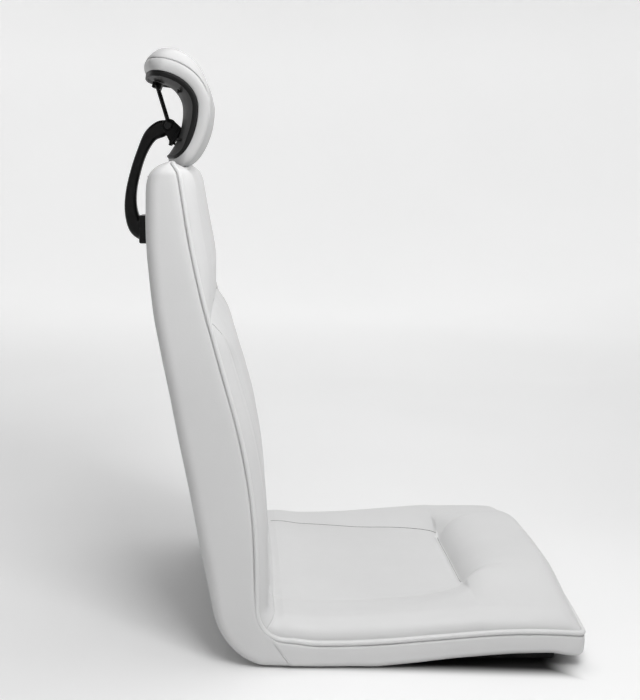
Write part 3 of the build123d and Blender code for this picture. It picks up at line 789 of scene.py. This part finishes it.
def front_covers():
    """Seat cover and back cover, which meet in the inner corner's crease."""
    seat_rows, corner_rows, back_rows = 110, 27, 190
    points = front_surface(201, seat_rows, corner_rows, back_rows)
    crease = seat_rows + corner_rows // 2 - 1
    points = unevenness(points, 1)
    cover(
        "seat_cover_leather", points[: crease + 1], (0, -0.05, -0.2),
        "seat_cover", "seat_pad", "front_roll_pad", "seat_bolster_right", "seat_bolster_left", "seat_foam",
    )
    cover(
        "back_cover_leather", points[crease:], (0, 0.6, 0.45),
        "back_cover", "lumbar_pad", "shoulder_pad", "back_bolster_right", "back_bolster_left", "back_foam",
    )


def seat_strip():
    """The boxing round the seat, in one piece from mitre to mitre."""
    start, end, inward = seat_strip_lines()
    half = strip_grid(start, end, inward, BOTTOM_ROUND, BOTTOM_ROUND, 0.012)
    whole = np.concatenate([half, mirrored(half[::-1][1:])])
    cover("seat_boxing_leather", unevenness(whole, 2), (0, 0, 0.04), "seat_boxing")
    return start, inward


def back_strip():
    """The gussets round the back, and their inner edge for the rear panel to meet."""
    start, end, inward = back_strip_lines()
    over = -inward[:, 2]
    heel = smooth(LEVEL_Z, 0.02, start[:, 2])
    dish = over * smooth(0.13, 0.05, np.abs(start[:, 0]))
    depth_round = SIDE_ROUND + (BOTTOM_ROUND - SIDE_ROUND) * heel
    inset_round = depth_round - dish * 0.008
    tuck = 0.010 - dish * 0.006
    half = strip_grid(start, end, inward, depth_round, inset_round, tuck)
    high = (start[:, 2] > LEVEL_Z)[:, None] & (half[..., 1] > 0)
    half[..., 1] += np.where(high, rear_y(half[..., 2]) - rear_y(start[:, 2])[:, None], 0)
    cover("left_gusset_leather", unevenness(half, 3), (0.15, 0.3, 0.45), "back_gusset_left")
    twin = unevenness(mirrored(half), 4)
    cover("right_gusset_leather", twin, (-0.15, 0.3, 0.45), "back_gusset_right")
    return start, inward, half[:, -1]


RAIL_GAP = 0.0025         # room round the rail in the rear cover's opening
FINE_X = 0.09             # the rear cover's columns are closer together inside this half width
REAR_HALF_Y = 0.35        # everything behind this belongs to the rear cover


def rear_panel(edge):
    """The cover down the back, from the top seam round the heel, with the rail's opening."""
    rail_low, rail_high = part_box("headrest_rail")
    hole = (rail_high.x + RAIL_GAP, rail_low.z - RAIL_GAP, rail_high.z + RAIL_GAP)
    level = int(np.argmax(edge[:, 2] > hole[1] - 0.05))
    fine = np.concatenate([np.linspace(0, hole[0], 13), np.linspace(hole[0], FINE_X, 22)[1:]])
    rows = []
    for outer_x, y, z in edge[: level + 1]:
        xs = np.concatenate([fine, np.linspace(FINE_X, outer_x, 34)[1:]])
        rows.append(np.stack([xs, np.full_like(xs, y), np.full_like(xs, z)], -1))
    spread = np.sin(np.linspace(0, math.pi / 2, 34))[1:]
    xs = np.concatenate([fine, FINE_X + (edge[level, 0] - FINE_X) * spread])
    top = np.interp(xs, edge[level:, 0][::-1], edge[level:, 2][::-1])
    z_low = edge[level, 2]
    z_steps = np.concatenate([
        np.linspace(z_low, hole[1], 18)[1:],
        np.linspace(hole[1], hole[2], 44)[1:],
        np.linspace(hole[2], top[0], 5)[1:],
    ])
    for share in (z_steps - z_low) / (top[0] - z_low):
        zs = z_low + (top - z_low) * share
        rows.append(np.stack([xs, rear_y(zs), zs], -1))
    grid = np.array(rows)
    grid = np.concatenate([mirrored(grid[:, :0:-1]), grid], axis=1)
    z, x = grid[..., 2], np.abs(grid[..., 0])
    border = np.minimum(x[:, -1:] - x, np.interp(x, xs, top) - z)
    beside = np.maximum(x - hole[0], np.maximum(hole[1] - z, z - hole[2]))
    rise = 0.0030 * edge_rise(np.maximum(border, 0), 0.030, 0.8) - 0.0016 * groove(border, 0.003)
    rise = rise - 0.004 * groove(np.maximum(beside, 0), 0.004) * (z > 0.3)
    path = np.gradient(grid, axis=0)
    out = unit(np.stack([np.zeros_like(x), path[..., 2], -path[..., 1]], -1))
    grid = unevenness(grid + out * rise[..., None], 6)
    obj = facing(grid_mesh("rear_cover_leather", grid), (0, 0.25, 0.4))
    cut_opening(obj, hole)
    place(thicken(obj), "grey_leather", "chair", "rear_cover", "rear_foam")


def in_opening(point, hole, grow):
    """Whether a point lies in the rail's opening, grown by an amount all round."""
    inside = abs(point.x) < hole[0] + grow and hole[1] - grow < point.z < hole[2] + grow
    return point.y > REAR_HALF_Y and inside


def cut_opening(obj, hole):
    """Takes the faces out of the rail's opening and turns the leather in round it."""
    with editing(obj) as bm:
        doomed = [f for f in bm.faces if in_opening(f.calc_center_median(), hole, -0.0004)]
        bmesh.ops.delete(bm, geom=doomed, context="FACES")
        open_edges = [e for e in bm.edges if e.is_boundary]
        rim = [e for e in open_edges if all(in_opening(v.co, hole, 0.002) for v in e.verts)]
        for step in (0.003, 0.006):
            made = bmesh.ops.extrude_edge_only(bm, edges=rim)["geom"]
            for v in [g for g in made if isinstance(g, bmesh.types.BMVert)]:
                v.co.y -= step
            rim = [g for g in made if isinstance(g, bmesh.types.BMEdge)]


def piping(seat, back):
    """The cord sewn into the edge of the sitting side, in one loop."""
    start = np.concatenate([seat[0][::-1], back[0][1:]])
    inward = np.concatenate([seat[1][::-1], back[1][1:]])
    half = start + inward * STRIP_BULGE
    loop = np.concatenate([half, mirrored(half[::-1][1:-1]), half[:1]])
    obj = tube("edge_piping_cord", spaced(loop, 900)[:-1], CORD_R, sides=14, closed=True)
    place(facing(obj, (0, 0.1, 0.2)), "piping_leather", "chair", "edge_piping")


SEAM_SHADE_R = 0.0005
ABOVE, BEFORE = 0.4, -0.5  # rays come down on the seat from here, and back to the back from here


def seam_shade_cord(name, places, direction, tree):
    """A seam's painted shade: a fine dark cord half sunk in the leather under each place, standing in for
    the shadow in the seam's gap.
    """
    path = [hit(tree, origin, direction) for origin in places]
    path = np.array([point for point in path if point is not None])
    obj = tube(name, spaced(path, 120), SEAM_SHADE_R, sides=6, up=(0.3, 0.8, 0.5))
    place(obj, "piping_leather", "chair")
    obj.data.materials[0] = SHOWN["seam_line"]


def seams():
    """Painted shade lines along the seat panel's seam, its tuck, the lumbar pad's seams and the valley."""
    down, back = (0, 0, -1), (0, 1, 0)
    seat = surface_tree("seat_cover_leather")
    rear = surface_tree("back_cover_leather")
    ys = np.linspace(SPINE_Y + 0.010, TUCK_Y + 0.001, 90)
    seam_shade_cord("seat_seam_left", [(float(seat_seam_x(y)), y, ABOVE) for y in ys], down, seat)
    xs = np.linspace(0.006 - TUCK_HALF, TUCK_HALF - 0.006, 60)
    seam_shade_cord("seat_tuck", [(x, TUCK_Y, ABOVE) for x in xs], down, seat)
    zs = np.linspace(SPINE_Z + 0.05, VALLEY_Z - 0.004, 90)
    for side, word in ((1, "left"), (-1, "right")):
        places = [(side * float(back_seam_x(half_width(z) - SIDE_GAP, z)), BEFORE, z) for z in zs]
        seam_shade_cord("back_seam_" + word, places, back, rear)
    reach = half_width(VALLEY_Z) - 0.012
    across = [(x, BEFORE, VALLEY_Z) for x in np.linspace(-reach, reach, 90)]
    seam_shade_cord("pad_valley", across, back, rear)


def surface_tree(name):
    """A ray target made of one finished piece."""
    mesh = bpy.data.objects[name].data
    faces = [list(p.vertices) for p in mesh.polygons]
    return BVHTree.FromPolygons([v.co for v in mesh.vertices], faces)


# The cloth's black hem reaches out to the boxing's lower edges and rises there: partly the real black dust
# cloth, partly painted shade that fills the gap under the seat's raised front.
CLOTH_HALF = 0.2425       # the black underside hangs between the boxing's lower edges
CLOTH_FRONT = -0.247
CLOTH_REAR = 0.188
CLOTH_LOW = 0.0012        # its height over the floor
HEM, HEM_RISE = 0.010, 0.018


def from_hem(start, end, count):
    """Stations from a hem inward: close together in the hem, even after it."""
    return np.concatenate([np.linspace(start, start + HEM, 8)[:-1], np.linspace(start + HEM, end, count)])


def underside():
    """Black cloth over the base: flat on the floor, turned up at its hem."""
    rows = []
    xs = from_hem(-CLOTH_HALF, 0, 60)
    xs = np.concatenate([xs, -xs[::-1][1:]])
    for y in from_hem(CLOTH_FRONT, CLOTH_REAR, 70):
        lift = np.zeros_like(xs)
        for distance in (CLOTH_HALF - np.abs(xs), y - CLOTH_FRONT):
            t = np.clip(1 - distance / HEM, 0, 1)
            lift = np.maximum(lift, HEM_RISE * (1 - np.sqrt(np.maximum(1 - t ** 2, 0))) + 0.006 * t ** 6)
        rows.append(np.stack([xs, np.full_like(xs, y), CLOTH_LOW + lift], -1))
    points = np.array(rows)
    points[..., 2] += 0.0005 * (soft_noise(points, 0.03, 9) + 1) * (points[..., 2] < 0.002)
    obj = facing(grid_mesh("underside_cloth", points), (0, 0, 0.5))
    place(thicken(obj, 0.0006), "dust_cloth", "chair", "bottom_cloth")


front_covers()
seams()
underside()
seat_lines = seat_strip()
back_lines = back_strip()
rear_panel(back_lines[2])
piping(seat_lines, back_lines)

# ================= Headrest =================
HEAD_BAND = 0.0225        # width of the band between the pad's front seam and the shell
HEAD_ROLL = 0.034         # width of the roll from the seam to the full face
HEAD_CORNER = 0.022       # radius of the headrest's corners
SHELL_WALL = 0.003
SHELL_RIM = 0.0065        # depth of the wall round the shell
SHELL_INSET = 0.0005      # the shell's edge lies this far inside the pad's


def circle_through(a, b, c):
    """Centre and radius of the circle through three points of a plane."""
    (ax, ay), (bx, by), (cx, cy) = a, b, c
    d = 2 * (ax * (by - cy) + bx * (cy - ay) + cx * (ay - by))
    sa, sb, sc = ax * ax + ay * ay, bx * bx + by * by, cx * cx + cy * cy
    ux = (sa * (by - cy) + sb * (cy - ay) + sc * (ay - by)) / d
    uy = (sa * (cx - bx) + sb * (ax - cx) + sc * (bx - ax)) / d
    return (ux, uy), math.hypot(ax - ux, ay - uy)


def head_frame():
    """The headrest in the frame: its upright axis, its face's middle and radius, its shell's middle."""
    front = tree_of("headrest_front_cover")
    low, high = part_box("headrest_front_cover")
    mid = (low.z + high.z) / 2
    ends = [hit(front, (x, 0, mid), (0, 1, 0)) for x in (0.0, 0.1, -0.1)]
    (_, axis_y), _ = circle_through(*[(p.x, p.y) for p in ends])
    face = [hit(front, (0, 0, z), (0, 1, 0)) for z in (low.z + 0.02, mid, high.z - 0.02)]
    face_centre, face_r = circle_through(*[(p.y - axis_y, p.z) for p in face])
    shell_low, shell_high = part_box("headrest_shell")
    shell = tree_of("headrest_shell")
    zs = [shell_low.z + 0.025, (shell_low.z + shell_high.z) / 2, shell_high.z - 0.025]
    inner = [hit(shell, (0.12, 0.2, z), (0, 1, 0)) for z in zs]
    shell_centre, _ = circle_through(*[(math.hypot(p.y - axis_y, p.x), p.z) for p in inner])
    return axis_y, face_centre, face_r, shell_centre


AXIS_Y, FACE_C, FACE_R, SHELL_C = head_frame()
HEAD_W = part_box("headrest_front_cover")[1].x
FACE_FROM, FACE_TO = math.radians(90), math.radians(238)
SHELL_FROM, SHELL_TO = math.radians(94), math.radians(233.5)
FACE_UP, FACE_DOWN, FACE_AHEAD = 0.095, 0.140, 0.097
SHELL_UP, SHELL_DOWN, SHELL_AHEAD = 0.0625, 0.105, 0.080
FACE_LIFT, SHELL_LIFT = 0.015, 0.011     # the widest places lie this far over the CAD arcs' middles


def oval(angle, ahead, up, down):
    """A point of an egg-shaped side view: squarer above its widest place, rounder below."""
    c, s = np.cos(angle), np.sin(angle)
    power = np.where(s > 0, 2.4, 2.0)
    rise = np.where(s > 0, up, down)
    return [reach * np.sign(v) * np.abs(v) ** (2 / power) for reach, v in ((ahead, c), (rise, s))]


def face_line(share):
    """The pad's face in the side view: distance from the upright axis, and height."""
    out, up = oval(FACE_FROM + (FACE_TO - FACE_FROM) * share, FACE_AHEAD, FACE_UP, FACE_DOWN)
    return FACE_C[0] + out, FACE_C[1] + FACE_LIFT + up


def shell_line(share, drop=0.0):
    """The shell's front face in the side view, or a face drop metres behind it."""
    a = SHELL_FROM + (SHELL_TO - SHELL_FROM) * share
    y = (SHELL_AHEAD - drop) * np.cos(a)
    up = (np.where(np.sin(a) > 0, SHELL_UP, SHELL_DOWN) - drop) * np.sin(a)
    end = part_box("headrest_shell")[0].y + SHELL_AHEAD + y - AXIS_Y
    return np.hypot(end, HEAD_W), SHELL_C[1] + SHELL_LIFT + up


def head_point(x, radius_out, height):
    """A point of the headrest from its distance to the upright axis."""
    return np.stack([x, AXIS_Y + np.sqrt(np.maximum(radius_out ** 2 - x ** 2, 1e-9)), height], -1)


def head_layer(x, share, depth):
    """A point of the pad: share runs from the top end to the bottom, depth 0 face to 1 shell."""
    face, shell = face_line(share), shell_line(share)
    return head_point(x, *[(1 - depth) * face[k] + depth * shell[k] for k in (0, 1)])


def seam_depth(share):
    """Where the pad's front seam lies between face (0) and shell (1)."""
    face, shell = face_line(share), shell_line(share)
    thick = np.hypot(face[0] - shell[0], face[1] - shell[1])
    return 1 - np.minimum(HEAD_BAND / thick, 0.80)


def head_loop(inset, count):
    """A rounded rectangle round the pad: x and share of the arc, starting at the top's middle."""
    run = FACE_R * (FACE_TO - FACE_FROM)
    w, h, r = HEAD_W - inset, run / 2 - inset, HEAD_CORNER
    points = []
    for across, up, start in ((1, 1, 90), (1, -1, 0), (-1, -1, -90), (-1, 1, -180)):
        for a in np.radians(np.linspace(start, start - 90, 14)):
            points.append((across * (w - r) + r * math.cos(a), up * (h - r) + r * math.sin(a)))
    points.append(points[0])
    loop = spaced(np.array(points), count + 1)[:-1]
    return loop[:, 0], 0.5 - loop[:, 1] / run


def closing(x, share, depth, count, layer):
    """Ever smaller copies of a loop, down to the headrest's middle."""
    shrinks = np.linspace(1, 0, count)[1:]
    return [layer(x * shrink, 0.5 + (share - 0.5) * shrink, depth) for shrink in shrinks]


def closed_sheet(name, rings):
    """A sheet of rings whose last one is welded into a point."""
    obj = grid_mesh(name, np.array(rings), closed=True)
    with editing(obj) as bm:
        bmesh.ops.remove_doubles(bm, verts=bm.verts, dist=0.0003)
    return obj


def head_cushion():
    """The pad's front panel, crowned and rolled back to its seam, as rings closing on the middle."""
    rings = []
    for reach in np.linspace(0, HEAD_ROLL * 1.2, 34):
        x, share = head_loop(reach, 180)
        rise = edge_rise(reach, HEAD_ROLL, 0.75)
        rings.append(head_layer(x, share, seam_depth(share) * (1 - rise)))
    rings += closing(x, share, 0 * share, 16, head_layer)
    return closed_sheet("headrest_front_leather", rings)


def head_band():
    """The band round the pad, from the front seam to the shell, swelling between its seams."""
    rings = []
    for t in np.linspace(0, 1, 20):
        seams_in = 0.0015 * (groove(t, 0.05) + groove(1 - t, 0.05))
        swell = 0.0035 * math.sin(math.pi * t) ** 0.7 - seams_in
        x, share = head_loop(0.0002 - swell, 260)
        first = seam_depth(share)
        rings.append(head_layer(x, share, first + (1 - first) * t))
    return grid_mesh("headrest_band_leather", np.array(rings), closed=True)


def head_shell():
    """The moulded tray behind the pad: a curved back, a wall round it and a rolled rim."""
    rim = (
        (0.0005, -0.0010), (0.0, 0.0012), (0.0, SHELL_RIM), (0.0008, SHELL_RIM + 0.0008),
        (0.0022, SHELL_RIM + 0.0008), (0.0030, SHELL_RIM), (0.0036, 0.0045), (0.0050, 0.0030),
        (0.0090, SHELL_WALL), (0.0300, SHELL_WALL),
    )
    rings = [shell_ring(inset, drop) for inset, drop in rim]
    x, share = head_loop(SHELL_INSET + rim[-1][0], 260)
    rings += closing(x, share, SHELL_WALL, 20, shell_layer)
    return closed_sheet("headrest_shell_moulding", rings)


def head_board():
    """The curved plywood between pad and shell."""
    rings = []
    for inset, drop in ((0.014, -0.0010), (0.014, -0.0060), (0.044, -0.0060)):
        x, share = head_loop(inset, 160)
        rings.append(shell_layer(x, share, drop))
    rings += closing(x, share, drop, 14, shell_layer)
    return closed_sheet("headrest_board_panel", rings)


def shell_layer(x, share, drop):
    """A point of the shell, drop metres behind its front face."""
    return head_point(x, *shell_line(share, drop))


def shell_ring(inset, drop):
    """One loop round the shell, whose wall is shallower at its lower end."""
    x, share = head_loop(SHELL_INSET + inset, 260)
    wall = max(drop - SHELL_WALL, 0) * (1 - 0.9 * smooth(0.80, 0.97, share))
    return shell_layer(x, share, min(drop, SHELL_WALL) + wall)


def headrest():
    """Pad, band, shell and board, all on the headrest's body."""
    middle = (0, FACE_C[0] + AXIS_Y - 0.06, FACE_C[1])
    front = thicken(facing(head_cushion(), middle), 0.0018)
    place(front, "headrest_leather", "headrest", "headrest_front_cover", "headrest_foam")
    band = thicken(facing(head_band(), middle), 0.0018)
    place(band, "headrest_leather", "headrest", "headrest_side_band")
    place(thicken(head_shell(), 0.0014, 1.0), "shell_plastic", "headrest", "headrest_shell")
    place(thicken(head_board(), 0.0012, 1.0), "plywood", "headrest", "headrest_board")


# ================= Swan-neck arm =================
# Middle line and half thickness in the side view, metres behind and above the tilt pin.
ARM_LINE = (
    (0.000, -0.002, 0.0125), (0.016, -0.006, 0.0155), (0.034, -0.018, 0.0125),
    (0.0485, -0.045, 0.0097), (0.0605, -0.080, 0.0094), (0.0690, -0.120, 0.0101),
    (0.0690, -0.155, 0.0118), (0.0590, -0.184, 0.0140), (0.0400, -0.198, 0.0135),
)
ARM_HALF_WIDTH = 0.0140
SQUARISH = 0.55           # power of the bar's cross section: 1 would be an ellipse
FOOT_HALF_WIDTH, FOOT_DEPTH, FOOT_HEIGHT = 0.025, 0.026, 0.051
FOOT_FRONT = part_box("headrest_rail")[1].y + 0.002


def spline(points, count):
    """A smooth curve through the points (Catmull-Rom), evenly spaced."""
    p = np.array(points, float)
    p = np.concatenate([[2 * p[0] - p[1]], p, [2 * p[-1] - p[-2]]])
    out = []
    for i in range(1, len(p) - 2):
        for t in np.linspace(0, 1, 24, endpoint=False):
            a, b, c, d = p[i - 1: i + 3]
            out.append(0.5 * (2 * b + (c - a) * t + (2 * a - 5 * b + 4 * c - d) * t * t
                              + (3 * b - a - 3 * c + d) * t ** 3))
    out.append(p[-2])
    return spaced(np.array(out), count)


def rounded_block(low, high, radius):
    """A block with rounded edges, as a mesh ready to be joined."""
    bm = bmesh.new()
    bmesh.ops.create_cube(bm, size=1)
    for v in bm.verts:
        v.co = Vector([low[k] + (high[k] - low[k]) * (v.co[k] + 0.5) for k in range(3)])
    bmesh.ops.bevel(bm, geom=bm.edges[:], offset=radius, segments=5, profile=0.5, affect="EDGES")
    return bm


def join_bmesh(parts, name):
    """One object from several closed shapes."""
    obj = put_in_scene(name, bpy.data.meshes.new(name))
    with editing(obj) as whole:
        for part in parts:
            piece = bpy.data.meshes.new("piece")
            part.to_mesh(piece)
            part.free()
            whole.from_mesh(piece)
            bpy.data.meshes.remove(piece)
    return obj


def barrel(centre, radius, half_length):
    """A round boss across the chair with rounded ends."""
    bm = bmesh.new()
    size = {"radius1": radius, "radius2": radius, "depth": 2 * half_length}
    bmesh.ops.create_cone(bm, cap_ends=True, segments=48, **size)
    for v in bm.verts:
        v.co = Vector((centre[0] + v.co.z, centre[1] + v.co.x, centre[2] + v.co.y))
    rims = [e for e in bm.edges if abs(e.verts[0].co.x - e.verts[1].co.x) < 1e-6]
    bmesh.ops.bevel(bm, geom=rims, offset=0.0015, segments=3, profile=0.5, affect="EDGES")
    return bm


def moulded(parts, name, voxel, rounds):
    """Joins shapes into one moulding whose inner corners are softened."""
    obj = join_bmesh(parts, name)
    remesh = obj.modifiers.new("remesh", "REMESH")
    remesh.mode = "VOXEL"
    remesh.voxel_size = voxel
    soften = obj.modifiers.new("soften", "SMOOTH")
    soften.factor = 0.5
    soften.iterations = rounds
    return apply_modifiers(obj)


def arm():
    """The swan neck: a bar of changing thickness, its eye round the tilt pin and its foot."""
    pivot = next(j for j in frame["joints"] if j["name"] == "headrest_tilt")["pos_m"]
    line = spline(ARM_LINE, 90)
    y, z, half = line[:, 0] + pivot[1], line[:, 1] + pivot[2], line[:, 2]
    ahead = unit(np.gradient(np.stack([y, z], -1), axis=0))
    angles = np.linspace(0, 2 * math.pi, 32, endpoint=False)
    across, through = (np.sign(v) * np.abs(v) ** SQUARISH for v in (np.cos(angles), np.sin(angles)))
    rings = []
    for i in range(len(line)):
        wide = ARM_HALF_WIDTH + 0.006 * smooth(60, 89, i) - 0.001 * smooth(20, 0, i)
        offset = through * half[i]
        place_y, place_z = y[i] - ahead[i, 1] * offset, z[i] + ahead[i, 0] * offset
        rings.append(np.stack([across * wide, place_y, place_z], -1))
    sweep = bmesh.new()
    sweep.from_mesh(quads("sweep", np.array(rings), closed=True))
    bmesh.ops.holes_fill(sweep, edges=sweep.edges)
    bmesh.ops.recalc_face_normals(sweep, faces=sweep.faces)
    eye = barrel(pivot, 0.0125, 0.0128)
    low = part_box("headrest_arm")[0].z
    foot = rounded_block(
        (-FOOT_HALF_WIDTH, FOOT_FRONT, low),
        (FOOT_HALF_WIDTH, FOOT_FRONT + FOOT_DEPTH, low + FOOT_HEIGHT), 0.003,
    )
    obj = moulded([sweep, eye, foot], "swan_neck_arm", 0.0011, 6)
    place(obj, "arm_plastic", "arm", "headrest_arm")


def hinge():
    """The bracket between shell and pin, with the soft corners of a moulding."""
    node = frame["nodes"]["hinge_bracket"]
    shape = bmesh.new()
    shape.from_mesh(node.data)
    slot = node.material_slots[0].material.name.split(".")[0]
    obj = moulded([shape], "hinge_bracket_moulding", 0.0008, 4)
    place(obj, slot, "headrest", "hinge_bracket")


headrest()
arm()
hinge()

# ================= Materials on the CAD nodes =================
for node in frame["nodes"].values():
    for slot in node.material_slots:
        base = slot.material.name.split(".")[0]
        slot.link = "OBJECT"
        slot.material = SHOWN[base]


# ================= Studio =================
def studio():
    """A seamless paper bowl round the chair: a flat floor that curves up into a wall."""
    flat, bend, top = 3.0, 1.4, 4.5
    profile = [(r, 0.0) for r in np.linspace(0.02, flat, 12)]
    profile += [(flat + bend * math.sin(a), bend - bend * math.cos(a)) for a in quarter(24)]
    profile.append((flat + bend, top))
    around = np.linspace(0, 2 * math.pi, 96, endpoint=False)
    points = np.array([[(r * math.cos(a), r * math.sin(a), z) for a in around] for r, z in profile])
    bowl = shade_smooth(facing(grid_mesh("paper_sweep", points, closed=True), (0, 0, -1)))
    bowl.data.materials.append(paper_floor())


def area_light(name, position, aim, size, power):
    """A square soft box pointed at a place."""
    data = bpy.data.lights.new(name, "AREA")
    data.size = size
    data.energy = power
    lamp = put_in_scene(name, data)
    lamp.location = position
    lamp.rotation_euler = (Vector(aim) - Vector(position)).to_track_quat("-Z", "Y").to_euler()
    lamp.visible_camera = False


def lights():
    """A big soft box overhead, a weak one on the camera's side, one at the back, and air light."""
    world = bpy.data.worlds.new("studio")
    world.use_nodes = True
    world.node_tree.nodes["Background"].inputs["Color"].default_value = (1, 1, 1, 1)
    world.node_tree.nodes["Background"].inputs["Strength"].default_value = 0.13
    bpy.context.scene.world = world
    area_light("overhead", (0.35, -0.35, 3.0), (0, 0, 0), 2.6, 46.5)
    area_light("camera_side", (-2.2, 0.5, 2.9), (0, 0.1, 0.3), 1.8, 3)
    area_light("upper_side", (-1.15, -0.2, 1.65), (-0.1, 0.35, 0.85), 0.8, 22)


PICTURE_SHIFT = {"shift_x": 4 / 35, "shift_y": -19 / 70}  # shares of the picture's longer side


def camera():
    """Level, from the chair's right, with the picture shifted down so that uprights stay upright."""
    data = bpy.data.cameras.new("camera")
    data.lens = 50.43
    data.sensor_width = 36.0
    data.clip_end = 50
    obj = put_in_scene("camera", data)
    obj.location = (-1.780, 0.248, 0.787)
    obj.rotation_euler = (math.radians(90), 0, math.radians(-90))
    bpy.context.scene.camera = obj
    for path, value in PICTURE_SHIFT.items():
        shift_only_here(data, path, value, obj)


def shift_only_here(data, path, value, obj):
    """Shifts the picture at the camera's own place; any other view is centred as it is aimed."""
    curve = data.driver_add(path)
    curve.driver.type = "SUM"
    variable = curve.driver.variables.new()
    variable.type = "TRANSFORMS"
    variable.targets[0].id = obj
    variable.targets[0].transform_type = "LOC_X"
    variable.targets[0].transform_space = "WORLD_SPACE"
    while curve.modifiers:
        curve.modifiers.remove(curve.modifiers[0])
    here, reach = obj.location.x, 0.02
    curve.keyframe_points.add(3)
    keys = ((here - reach, 0), (here, value), (here + reach, 0))
    for point, key in zip(curve.keyframe_points, keys):
        point.co = key
        point.interpolation = "LINEAR"
    curve.update()


studio()
lights()
camera()
bpy.context.scene.view_settings.view_transform = "Standard"

bpy.context.view_layer.update()
